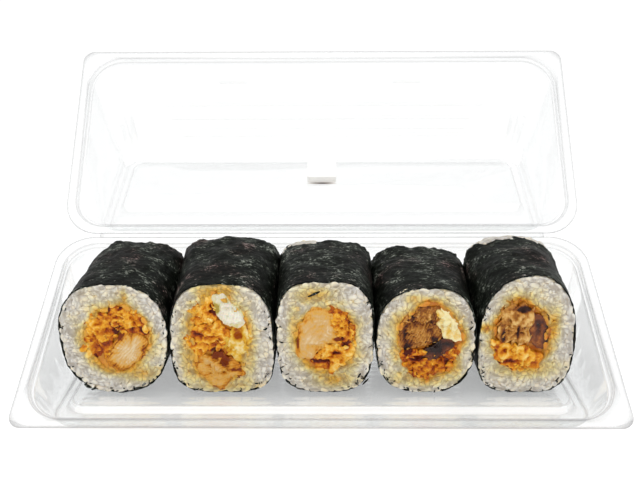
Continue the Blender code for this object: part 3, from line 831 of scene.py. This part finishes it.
def nori_sheet(index, finish):
    """The sheet round a roll: its outline carried along the roll, dented and ragged at both ends.

    The outer face is moved along its normal by smooth noise; the inner face lies a sheet inside it.
    """
    low, high = roll_box(index)
    columns, stations = 240, 64
    turn, around = even_turns(index, columns)
    share = np.linspace(0, 1, stations)[:, None]
    rise = ROLLS[index]["rise"] * MM * np.sin(np.minimum(share * 1.15, 1) * math.pi / 2)
    walk = np.arange(columns) / columns * around
    ring = joined(np.cos(turn), np.sin(turn), index * 3.0)
    ragged = 0.45 * MM * cloud_value(ring * 22 * MM, 1.6 * MM, 5, 3)
    hidden = np.clip(0.6 - np.sin(turn) * 0.9, 0, 1)
    front = low.y + 0.30 * MM + 0.75 * MM * hidden + ragged
    back = high.y - NORI_SHORT[index] - 0.3 * MM + 1.1 * ragged[::-1]
    y = front * (1 - share) + back * share
    outline = roll_outline(index, turn, -0.1 * MM, rise, share)
    rows = joined(narrowed(index, outline[..., 0], share), y, outline[..., 1])
    normals = grid_normals(rows)
    outward = np.sign((normals[..., 0] * (rows[..., 0] - roll_middle(index)[0])).sum())
    normals = normals * outward
    upper = np.clip((rows[..., 2] - low.z) / (high.z - low.z) * 1.6 - 0.3, 0, 1)
    dent = (0.5 + 0.6 * share) * MM * cloud_value(rows * [1, 0.8, 1], 9 * MM, 11 + index, 3)
    fine = 0.16 * MM * cloud_value(rows * [1, 2.0, 1], 2.2 * MM, 31 + index, 2)
    end = np.exp(-np.minimum(share, 1 - share) / 0.04)
    frill = 0.35 * MM * noise_value(ring[None] * 22 * MM + rows * 0.15, 2.6 * MM, 47) * end
    torn = cloud_value(ring[None] * 22 * MM + rows * [0, 0.5, 0], 1.7 * MM, 53, 2)
    frill = frill + 0.45 * MM * torn * np.exp(-(1 - share) / 0.05)
    facing_up = np.clip(normals[..., 2] * 1.6, 0, 1)
    rows = rows + normals * ((dent - 0.55 * MM) * upper * facing_up + fine + frill)[..., None]
    sheet = np.concatenate([rows, (rows - normals * NORI)[::-1]])
    flat = joined(walk, y)
    faces = [quad_faces(2 * stations, columns, looped=True)]
    made = make_piece(f"nori_wrap_{index + 1}", sheet, faces, finish, flat=np.concatenate([flat, flat[::-1]]))
    place_piece(made, "tray", "nori", f"nori_{index + 1}")


def spot_share(across, up, spot):
    """How much a place is inside a spot: 1 in its middle, falling off like a bell beyond its half sizes."""
    return np.exp(-((across - spot[0]) / spot[2]) ** 2 - ((up - spot[1]) / spot[3]) ** 2)


def soak_value(index, x, z):
    """How much sauce the rice has soaked up: strong at the pocket's edge and in the soaked places."""
    across, up = (x - roll_middle(index)[0]) / MM, (z - PLATFORM_TOP) / MM
    outside = np.maximum(pocket_level(index, x, z) - 1, 0)
    spread = 0.16 + 0.08 * noise_value(joined(x, 0, z), 7 * MM, 81 + index)
    soak = EDGE_SOAK[index] * np.exp(-outside / (spread * 1.15))
    for spot in SOAKED[index]:
        soak = np.maximum(soak, spot[4] * spot_share(across, up, spot) ** 0.7)
    for spot in DARK_SPOTS[index]:
        soak = np.maximum(soak, spot[4] * spot_share(across, up, spot))
    return soak


def ring_rows(first, last, shares, depths):
    """Rows of points from one (x, z) ring to another at the given shares, each at its depth."""
    flat = first + (last - first) * shares[:, None, None]
    return joined(flat[..., 0], np.reshape(depths, (-1, 1)), flat[..., 1])


def rice_core(index, finish):
    """The rice under the grains: bumpy faces, with a shallow sauced bowl where the fillings sit."""
    low, high = roll_box(index)
    columns = 150
    turn, _ = even_turns(index, columns)
    outer = roll_outline(index, turn, -NORI - 0.7 * MM)
    outer_back = roll_outline(index, turn, -NORI - 2.3 * MM, ROLLS[index]["rise"] * MM, 1.0)
    outer_back[:, 0] = narrowed(index, outer_back[:, 0], 1.1)
    across, up, half_width, half_height = POCKETS[index]
    centre = np.array([roll_middle(index)[0] + across * MM, PLATFORM_TOP + up * MM])
    toward = outer - centre
    reach = np.hypot(toward[:, 0] / (half_width * MM), toward[:, 1] / (half_height * MM))
    pocket = centre + toward / reach[:, None]
    front, back = low.y + 0.95 * MM, high.y - 0.9 * MM
    rim, bowl, side = np.linspace(0, 1, 14), np.linspace(0, 1, 12)[1:], np.linspace(1, 0, 10)[1:-1]
    sunk = BOWL_DEPTH * np.minimum(bowl * 5, 1)
    rows = np.concatenate([ring_rows(outer, pocket, rim, front),
                           ring_rows(pocket, centre, bowl * 0.99, front + sunk),
                           ring_rows(pocket, centre, bowl[::-1] * 0.99, back - sunk[::-1]),
                           ring_rows(outer_back, pocket, rim[::-1], back),
                           ring_rows(outer, outer_back, side, front + (back - front) * side)])
    lumps = cloud_value(rows, 3.2 * MM, 60 + index, 2)
    face = np.minimum(np.abs(rows[..., 1] - front), np.abs(rows[..., 1] - back)) < 0.9 * MM
    rows[..., 1] += np.where(face, 0.4 * MM * lumps, 0)
    values = {"soak": soak_value(index, rows[..., 0], rows[..., 2]) + 0.06, "shade": 0.35 + 0.3 * lumps}
    faces = [quad_faces(len(rows), columns, looped=True)]
    made = make_piece(f"rice_core_{index + 1}", rows, faces, finish, values)
    place_piece(made, "tray", "rice", f"rice_{index + 1}")


def grain_form(rings=7, sides=8):
    """One grain along X, length and width 1: rings whose radius follows a blunt egg curve, a little bent."""
    along = np.sin(np.linspace(-0.5, 0.5, rings + 2) * math.pi)[1:-1]
    radius = (1 - np.abs(along) ** 2.6) ** 0.55 * (1 + 0.10 * along)
    turn = np.arange(sides) / sides * 2 * math.pi
    ring = joined(0, np.cos(turn), 0.86 * np.sin(turn)) / 2
    points = ring[None] * radius[:, None, None]
    points[..., 0] = along[:, None] / 2
    points[..., 1] += 0.10 * (along[:, None] ** 2 - 0.4)
    points = np.concatenate([[[-0.5, 0.06, 0]], points.reshape(-1, 3), [[0.5, 0.06, 0]]])
    return points, capped_faces(rings, sides)


def scattered(form, places, turns, tilts, rolls, sizes):
    """Copies of a form: each is sized, rolled about its length, tilted out of the face and turned in it."""
    points = form[None] * sizes[:, None, :]
    cos, sin = np.cos(rolls)[:, None], np.sin(rolls)[:, None]
    y, z = points[..., 1] * cos - points[..., 2] * sin, points[..., 1] * sin + points[..., 2] * cos
    x = points[..., 0]
    cos, sin = np.cos(tilts)[:, None], np.sin(tilts)[:, None]
    x, y = x * cos - y * sin, x * sin + y * cos
    cos, sin = np.cos(turns)[:, None], np.sin(turns)[:, None]
    x, z = x * cos - z * sin, x * sin + z * cos
    return joined(x, y, z) + places[:, None, :]


def copied_faces(faces, points):
    """Faces of every copy, where points has one row of a form's points for each copy."""
    starts = np.arange(len(points))[:, None, None] * points.shape[1]
    return [(group + starts).reshape(-1, group.shape[1]) for group in faces]


def face_places(index, spacing, chance, margin):
    """Jittered places in a triangle lattice over a cut face, between nori and pocket."""
    low, high = roll_box(index)
    x, z = np.meshgrid(np.arange(low.x, high.x, spacing), np.arange(low.z, high.z, spacing * 0.87))
    x = x + (np.arange(x.shape[0]) % 2)[:, None] * spacing / 2
    x = (x + chance.normal(0, spacing * 0.22, x.shape)).ravel()
    z = (z + chance.normal(0, spacing * 0.22, z.shape)).ravel()
    inside = (roll_level(index, x, z) < 0.97) & (pocket_level(index, x, z) > margin)
    return x[inside], z[inside]


def grain_turns(index, x, z, chance):
    """A turn for each grain that keeps both tips inside the nori: the best of ten random ones."""
    best = np.zeros(len(x))
    best_level = np.full(len(x), 9.0)
    for _ in range(10):
        turn = chance.uniform(0, math.pi, len(x))
        reach_x, reach_z = np.cos(turn) * GRAIN_LENGTH * 0.45, np.sin(turn) * GRAIN_LENGTH * 0.45
        tips = joined(x + reach_x, x - reach_x), joined(z + reach_z, z - reach_z)
        out = roll_level(index, *tips).max(axis=-1)
        within = 1 / np.maximum(pocket_level(index, *tips).min(axis=-1), 0.01)
        score = np.maximum(np.maximum(out, 0.97), 0.9 * within)
        better = score < best_level - 1e-6
        best = np.where(better, turn, best)
        best_level = np.where(better, score, best_level)
    return best, best_level


def cut_face_grains(index, form, chance, depth, side, spacing, margin, jitter):
    """One layer of grains on a cut face, flattened where the knife went: side is 1 in front, -1 behind.

    Grains that reach past the nori are shifted inside it, and what is left over is pressed in.
    """
    low, high = roll_box(index)
    middle, foot, _, _ = roll_middle(index)
    centre = np.array([middle, foot + ROLLS[index]["waist"] * MM])
    x, z = face_places(index, spacing, chance, margin)
    turns, fit = grain_turns(index, x, z, chance)
    keep = fit < GRAIN_FIT
    x, z, turns = x[keep], z[keep], turns[keep]
    count = len(x)
    places = joined(x, depth + chance.normal(0, jitter, count), z)
    sizes = joined(GRAIN_LENGTH * chance.uniform(0.8, 1.08, count),
                   GRAIN_WIDTH * chance.uniform(0.88, 1.1, count),
                   GRAIN_WIDTH * chance.uniform(0.88, 1.1, count))
    points = scattered(form, places, turns, chance.normal(0, 0.28, count),
                       chance.uniform(0, 2 * math.pi, count), sizes)
    cut = low.y - 0.05 * MM if side == 1 else high.y - 0.1 * MM
    cut = cut + 0.25 * MM * noise_value(points, 5 * MM, 71)
    past = (cut - points[..., 1]) * side
    points[..., 1] += np.where(past > 0, past * CUT_FLATTENING * side, 0)
    limit = BACK_LIMIT
    if side == 1:
        limit = np.where(z > foot + SHOULDER, FRONT_LIMIT[0], chance.uniform(*FRONT_LIMIT, count))
    for _ in range(4):
        far = roll_level(index, points[..., 0], points[..., 2]).max(axis=1)
        step = (places[:, [0, 2]] - centre) * (np.minimum(limit / far, 1) - 1)[:, None]
        points[..., [0, 2]] += step[:, None, :]
    shrink = 1 / np.maximum(roll_level(index, points[..., 0], points[..., 2]) / PRESSED_LIMIT, 1)[..., None]
    if side == -1:
        shrink = shrink * BACK_SHRINK
    points[..., [0, 2]] = centre + (points[..., [0, 2]] - centre) * shrink
    if side == -1:
        points[..., 0] = narrowed(index, points[..., 0], 1.0)
    return points, chance.uniform(0.15, 1.0, count)


def crown_grains(index, form, chance):
    """The grains that show over the nori's back edge."""
    high = roll_box(index)[1]
    count = CROWN_GRAINS
    turn = np.radians(chance.uniform(*RICE_CROWNS[index], count))
    top = roll_outline(index, turn, -1.7 * MM, ROLLS[index]["rise"] * MM, 1.0)
    places = joined(top[:, 0], high.y - chance.uniform(0.9, 3.4, count) * MM, top[:, 1])
    points = scattered(form, places, turn + math.pi / 2 + chance.normal(0, 0.2, count),
                       chance.normal(0, 0.3, count), chance.uniform(0, 2 * math.pi, count),
                       np.broadcast_to(CROWN_GRAIN, (count, 3)))
    points[..., 1:] = np.minimum(points[..., 1:], [high.y, high.z])
    return points, chance.uniform(0.3, 1.0, count)


def rice_grains(index, finish, form, faces):
    """All grains that show on a roll: two layers in front, one behind, and a crown on some rolls."""
    chance = np.random.default_rng(100 + index)
    low, high = roll_box(index)
    layers = ((low.y + 1.6 * MM, 1, GRAIN_SPACING, 0.97, 0.3 * MM),
              (low.y + 1.1 * MM, 1, GRAIN_SPACING * 1.05, 0.90, 0.25 * MM),
              (high.y - 1.3 * MM, -1, GRAIN_SPACING * 1.15, 0.97, 0.4 * MM))
    groups = [cut_face_grains(index, form, chance, *layer) for layer in layers]
    if index in RICE_CROWNS:
        groups.append(crown_grains(index, form, chance))
    points, shades = (np.concatenate(part) for part in zip(*groups))
    values = {"soak": soak_value(index, points[..., 0], points[..., 2]),
              "shade": np.repeat(shades, len(form))}
    made = make_piece(f"rice_grains_{index + 1}", points, copied_faces(faces, points), finish, values)
    place_piece(made, "tray", "rice", f"rice_{index + 1}")


def filling_outline(node, count, grow):
    """Front outline of a filling's solid as (x, z), smoothed by its Fourier series and grown outwards."""
    points = mesh_points(frame["nodes"][node].data)
    depths = np.unique(np.round(points[:, 1], 5))
    ring = np.unique(np.round(points[np.abs(points[:, 1] - depths[1]) < 2e-5][:, [0, 2]], 6), axis=0)
    middle = ring.mean(axis=0)
    ring = ring[np.argsort(np.arctan2(*(ring - middle).T[::-1]))]
    waves = np.fft.fft(ring[:, 0] + 1j * ring[:, 1]) / len(ring)
    numbers = np.fft.fftfreq(len(ring), 1 / len(ring))
    keep = np.abs(numbers) <= 6
    turn = np.arange(count) / count * 2 * math.pi
    curve = (waves[keep] * np.exp(1j * np.outer(turn, numbers[keep]))).sum(1)
    outward = np.exp(-1j * math.pi / 2) * (np.roll(curve, -1) - np.roll(curve, 1))
    curve = curve + grow * outward / np.abs(outward)
    return joined(curve.real, curve.imag), depths[1]


# How each kind of filling, or a single piece, is formed: dome, crag height and crag size (mm), ridge share
# (0 soft, 1 sharp), height of the fibre lines (mm), unevenness of the outline
FORMS = {
    "batter": dict(dome=0.8, crag=2.8, size=3.2, ridge=0.5, fibre=0.0, uneven=0.26),
    "meat_5": dict(dome=1.3, crag=2.4, size=3.1, ridge=0.5, fibre=0.03, uneven=0.2),
    "chicken_3": dict(dome=1.1, crag=1.5, size=4.5, ridge=0.4, fibre=0.045, uneven=0.16),
    "chicken_2": dict(dome=0.9, crag=2.6, size=3.4, ridge=0.5, fibre=0.03, uneven=0.2),
    "chicken": dict(dome=1.1, crag=1.2, size=4.5, ridge=0.35, fibre=0.05, uneven=0.14),
    "cabbage": dict(dome=0.5, crag=2.4, size=4.2, ridge=0.6, fibre=0.05, uneven=0.3),
    "egg": dict(dome=0.5, crag=2.0, size=3.6, ridge=0.45, fibre=0.0, uneven=0.22),
    "meat": dict(dome=0.8, crag=2.2, size=3.2, ridge=0.6, fibre=0.10, uneven=0.18),
    "sauce": dict(dome=0.3, crag=1.4, size=3.6, ridge=0.4, fibre=0.0, uneven=0.22),
}
# Tone of a filling: plain, how much crags add (lighter on crests and darker in hollows, painted light and
# shade over the food's own colour spread), how much fibres add, and how much its rim and the dark spots take
# off
TONES = {
    "chicken_1": (0.80, 0.35, 1.6, 0.5, 1.0),
    "chicken": (0.80, 0.35, 1.6, 0.3, 1.0),
    "cabbage": (0.6, 0.3, 1.0, 0.3, 1.0),
    "batter": (0.53, 0.5, 0.8, 0.12, 1.1),
    "other": (0.53, 0.5, 0.8, 0.0, 1.1),
}
# How much lighter or darker single pieces are than their kind
TONE_SHIFT = {"egg_4": 0.42, "chicken_1": -0.07, "chicken_2": -0.32, "chicken_3": -0.08, "batter_2a": 0.04,
              "batter_3a": -0.09, "batter_3b": 0.03, "batter_4a": -0.14, "batter_4b": -0.15, "sauce_4": -0.24,
              "sauce_5": -0.06, "meat_5": 0.22, "cabbage_2": 0.14}
# Fine dark lines that run out from the middle of a cut piece
RAYS = {"chicken_1": 19}
# Turn of the fibres on the cut face (radians)
FIBRE_TURN = {"chicken_1": 0.9, "chicken_2": 0.2, "chicken_3": 1.35, "cabbage_2": 1.2, "meat_4": 1.1,
              "meat_5": 1.5}
# Pieces whose fibres run in arcs, and the arcs' middle and spacing (mm)
SWIRLS = {"meat_5": (-2.0, -3.0, 1.9), "chicken_3": (3.0, -6.0, 2.2)}
# Loose bits on a filling's front: how many, and how rough their faces are (mm)
LOOSE_BITS = {"batter": (13, 0.75), "egg": (8, 0.6), "meat": (34, 0.25)}


def filling_piece(node, index, finishes):
    """A filling through its roll: a crowned front, straight sides and a crowned back.

    Its front is the solid's outline shrunk ring by ring to the middle, raised by a dome, then moved
    along the surface by crags: smooth noise, folded at zero for sharp ridges, and fine fibre lines.
    """
    kind = node.split("_")[0]
    form = FORMS.get(node, FORMS[kind])
    columns, rings = 140, 44
    outline, ring_depth = filling_outline(node, columns, 0.7 * MM)
    middle = outline.mean(axis=0)
    seed = sum(ord(letter) for letter in node)
    around = joined(outline[:, 0], ring_depth, outline[:, 1])
    uneven = form["uneven"] * cloud_value(around, 4.6 * MM, seed + 3, 3)
    outline = middle + (outline - middle) * (1 + uneven)[:, None]
    bend = np.linspace(0, math.pi / 2, rings + 1)[1:]
    front_share, front_lift = np.sin(bend) ** 0.9, np.cos(bend) ** 0.8
    back_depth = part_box(node)[1].y - 0.5 * MM
    depths = np.concatenate([ring_depth - form["dome"] * MM * front_lift,
                             np.linspace(ring_depth, back_depth, 8)[1:-1],
                             back_depth + form["dome"] * 0.5 * MM * front_lift[::-1][::2]])
    shares = np.concatenate([front_share, np.ones(6), front_share[::-1][::2]])
    outwards = np.concatenate([np.sin(bend), np.ones(6), np.sin(bend)[::-1][::2]])
    sides = np.concatenate([-np.ones(rings), np.zeros(6), np.ones(rings // 2)])
    rows = ring_rows(middle, outline, shares, depths)
    tips = np.array([ring_depth - form["dome"] * MM, back_depth + form["dome"] * 0.5 * MM])
    poles = joined(middle[0], tips, middle[1])
    points = np.concatenate([poles[:1], rows.reshape(-1, 3), poles[1:]])
    radial = unit(joined(outline[:, 0] - middle[0], 0, outline[:, 1] - middle[1]))
    facing = joined(0, sides * np.sqrt(1 - outwards ** 2), 0)
    push = radial[None] * outwards[:, None, None] + facing[:, None]
    push = np.concatenate([[[0, -1, 0]], push.reshape(-1, 3), [[0, 1, 0]]])
    soft = cloud_value(points, form["size"] * MM, seed, 4)
    sharp = 1 - 2 * np.abs(cloud_value(points + 0.7 * MM * soft[:, None], form["size"] * MM, seed + 9, 4))
    crags = soft * (1 - form["ridge"]) + (sharp - 0.3) * form["ridge"]
    turn = FIBRE_TURN.get(node, 0.0)
    x, z = points[:, 0] - middle[0], points[:, 2] - middle[1]
    along, across = x * math.cos(turn) + z * math.sin(turn), z * math.cos(turn) - x * math.sin(turn)
    wavy, spacing, wander = across, 1.15, 0.5
    if node in SWIRLS:
        swirl_x, swirl_z, spacing = SWIRLS[node]
        wavy, wander = np.hypot(x - swirl_x * MM, z - swirl_z * MM), 1.4
    fibres = np.sin((wavy + wander * MM * soft) * 2 * math.pi / (spacing * MM)) * form["fibre"]
    whole = np.concatenate([[0], np.repeat(outwards, columns), [0]])
    strength = 1 - 0.75 * whole ** 4
    lift = (form["crag"] * crags * 0.55 + fibres) * MM * strength
    spot_x, spot_z = (points[:, 0] - roll_middle(index)[0]) / MM, (points[:, 2] - PLATFORM_TOP) / MM
    dark = np.zeros(len(points))
    for spot in DARK_SPOTS[index]:
        inside = spot_share(spot_x, spot_z, spot)
        dark = np.maximum(dark, spot[4] * inside)
        lift = lift - spot[5] * MM * inside * strength
    points = points + push * lift[:, None]
    edge = np.clip((whole - 0.62) / 0.26, 0, 1)
    plain, crag_tone_and_shade, of_fibres, of_rim, of_spots = TONES.get(node, TONES.get(kind, TONES["other"]))
    # Raised crags get a lighter tone and hollows a darker one: painted highlight and shade, mixed with the
    # food's own colour spread
    tone = plain + crag_tone_and_shade * crags + of_fibres * fibres - of_rim * edge - of_spots * dark
    tone = tone + TONE_SHIFT.get(node, 0.0)
    if node in RAYS:
        spokes = np.cos(np.arctan2(z, x) * RAYS[node] + 2.5 * soft)
        tone = tone - 0.55 * np.clip(spokes - 0.45, 0, 1) * np.clip(whole * 2.5 - 0.4, 0, 1) * (1 - edge)
    made = make_piece(node.replace("_", "_piece_"), points, capped_faces(len(rows), columns), finishes[kind],
                      {"tone": tone}, joined(along, across))
    place_piece(made, "tray", kind, node)
    if kind in LOOSE_BITS:
        front = points[1:1 + rings * columns]
        loose_bits(node, kind, front[whole[1:1 + rings * columns] > 0.35], turn, seed, finishes)


def loose_bits(node, kind, places, turn, seed, finishes):
    """Crumbs of batter or egg, or shreds of meat, half sunk into a filling's front at random places."""
    chance = np.random.default_rng(seed)
    form, faces = grain_form(11, 12)
    count, roughness = LOOSE_BITS[kind]
    places = places[chance.integers(0, len(places), count)] + chance.normal(0, 0.3 * MM, (count, 3))
    places[:, 1] += 0.25 * MM
    if kind == "meat":
        sizes = joined(chance.uniform(3, 6.5, count), chance.uniform(0.7, 1.3, count),
                       chance.uniform(0.7, 1.3, count)) * MM
        turns = turn + chance.normal(0, 0.5, count)
    else:
        length = chance.uniform(2.4, 5.2, (count, 1))
        sizes = length * chance.uniform([0.8, 0.5, 0.45], [1.2, 0.8, 0.75], (count, 3)) * MM
        turns = chance.uniform(0, math.pi, count)
    points = scattered(form, places, turns, chance.normal(0, 0.3, count),
                       chance.uniform(0, 2 * math.pi, count), sizes)
    rough = joined(*(cloud_value(points, 1.5 * MM, seed + way, 2) for way in (21, 22, 23)))
    points = points + roughness * MM * rough
    points[..., 1] = np.maximum(points[..., 1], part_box(node)[0].y)
    own = chance.uniform(0.35, 0.7, count)[:, None] + TONE_SHIFT.get(node, 0.0)
    tone = own + 0.35 * cloud_value(points, 1.4 * MM, seed + 5, 2)
    made = make_piece(node.replace("_", "_bits_"), points, copied_faces(faces, points), finishes[kind],
                      {"tone": tone}, points[..., [0, 2]])
    place_piece(made, "tray", kind, node)


def nori_bits(finish):
    """Loose flakes of nori on the cut faces: the named ones, and random specks along the lower rim."""
    form, faces = grain_form(5, 7)
    for index in range(len(ROLLS)):
        middle = roll_middle(index)[0]
        chance = np.random.default_rng(300 + index)
        turn = np.radians(chance.uniform(150, 390, RIM_SPECKS))
        rim = roll_outline(index, turn, -chance.uniform(0.9, 2.6, RIM_SPECKS) * MM)
        specks = joined((rim[:, 0] - middle) / MM, (rim[:, 1] - PLATFORM_TOP) / MM,
                        chance.uniform(0.8, 2.2, RIM_SPECKS), chance.uniform(0.4, 0.8, RIM_SPECKS),
                        chance.uniform(0, 180, RIM_SPECKS))
        named = np.array([row[1:] for row in NORI_BITS if row[0] == index], float)
        across, up, length, width, turn = np.concatenate([named, specks]).T
        places = joined(middle + across * MM, roll_box(index)[0].y, PLATFORM_TOP + up * MM)
        sizes = joined(length, 0.7, width) * MM
        none = np.zeros(len(across))
        points = scattered(form, places, np.radians(turn), none, none, sizes)
        points = points + 0.3 * MM * noise_value(points, 1.1 * MM, 7)[..., None] * [1, 0.2, 1]
        made = make_piece(f"nori_bits_{index + 1}", points, copied_faces(faces, points), finish,
                          flat=points[..., [0, 2]])
        place_piece(made, "tray", "nori", f"nori_{index + 1}")


def white_pad(finish):
    """Gives the white pad in the lid its finish, and adds a strip of painted contact shadow along its lower
    edge.

    The painted shadow strip is made on the closed lid's panel and swung open with it.
    """
    pad = frame["nodes"]["lid_pad"]
    pad.data.materials.clear()
    pad.data.materials.append(finish)
    form, faces = grain_form(15, 10)
    place = [0, *level(PAD_END + 0.5 * MM, PANEL_HEIGHT - RECESS_DEPTH - 0.5 * MM)]
    # A thin dark strip that paints the pad's contact shadow on the panel
    pad_shadow = make_piece("pad_painted_shadow", swing_open(form * PAD_SHADOW_STRIP + place), faces, pad_shadow_finish(),
                      {"middle": 1 - 2 * np.abs(form[:, 0])})
    place_piece(pad_shadow, "lid", "white_foam")


def studio():
    """White floor, soft light from above and a pale room that is darker towards the horizon."""
    ground = Finish("white studio floor")
    grain = ground.noise(ground.place(), 3, 2)
    colour = ground.ramp(grain, (0.0, (0.58, 0.58, 0.58, 1)), (1.0, (0.62, 0.62, 0.62, 1)))
    white = ground.surface({"Base Color": colour, "Roughness": 0.9, "Specular IOR Level": 0.0,
                            "Emission Color": (1, 1, 1, 1), "Emission Strength": 0.54})
    corners = np.array([[-1, -1, 0], [1, -1, 0], [1, 1, 0], [-1, 1, 0]]) * FLOOR_HALF - [0, 0, FLOOR_DROP]
    floor = make_piece("floor", corners, [np.arange(4)[None]], white)
    room = Finish("studio", world=True)
    where = room.node("ShaderNodeTexCoord", out="Generated")
    up = room.node("ShaderNodeSeparateXYZ", {}, {0: where}, out="Z")
    sky = room.ramp(up, (0.0, (0.99, 0.99, 0.99, 1)), (0.55, (1.0, 1.0, 1.0, 1)))
    glow = room.node("ShaderNodeBackground", {}, {"Color": sky, "Strength": 0.87})
    bpy.context.scene.world = room.done(glow)
    for name, place, turn, size, power in LIGHTS:
        light = bpy.data.lights.new(name, "AREA")
        light.size = size
        light.energy = power
        lamp = bpy.data.objects.new(name, light)
        bpy.context.scene.collection.objects.link(lamp)
        lamp.location = place
        lamp.rotation_euler = turn


def camera():
    """The photograph's view: from in front and a little above, 640 by 480."""
    lens = bpy.data.cameras.new("camera")
    lens.lens = CAMERA_LENS
    lens.sensor_width = 36
    lens.sensor_fit = "HORIZONTAL"
    lens.clip_start = 0.01
    eye = bpy.data.objects.new("camera", lens)
    bpy.context.scene.collection.objects.link(eye)
    aim = Euler((math.radians(90 - CAMERA_DOWN), 0, math.radians(CAMERA_LEFT))).to_matrix()
    turned = aim @ Matrix.Rotation(math.radians(-CAMERA_LEAN), 3, "Z")
    eye.matrix_world = Matrix.Translation(CAMERA_PLACE) @ turned.to_4x4()
    bpy.context.scene.camera = eye


def build():
    """Makes every piece."""
    clear = clear_finish()
    clear_piece("clear_base", base_rows(), "tray", clear, "tray_base")
    clear_piece("clear_lid", swing_open(lid_rows()), "lid", clear, "tray_lid")
    hinge_film(clear)
    white_pad(foam_finish())
    nori, rice, finishes = nori_finish(), rice_finish(), food_finishes()
    form, faces = grain_form()
    for index in range(len(ROLLS)):
        nori_sheet(index, nori)
        rice_core(index, rice)
        rice_grains(index, rice, form, faces)
    for node in sorted(frame["nodes"]):
        kind = node.split("_")[0]
        if kind in finishes:
            filling_piece(node, int(node.split("_")[1][0]) - 1, finishes)
    nori_bits(nori)


camera()
studio()
build()
bpy.context.scene.view_settings.view_transform = "Standard"
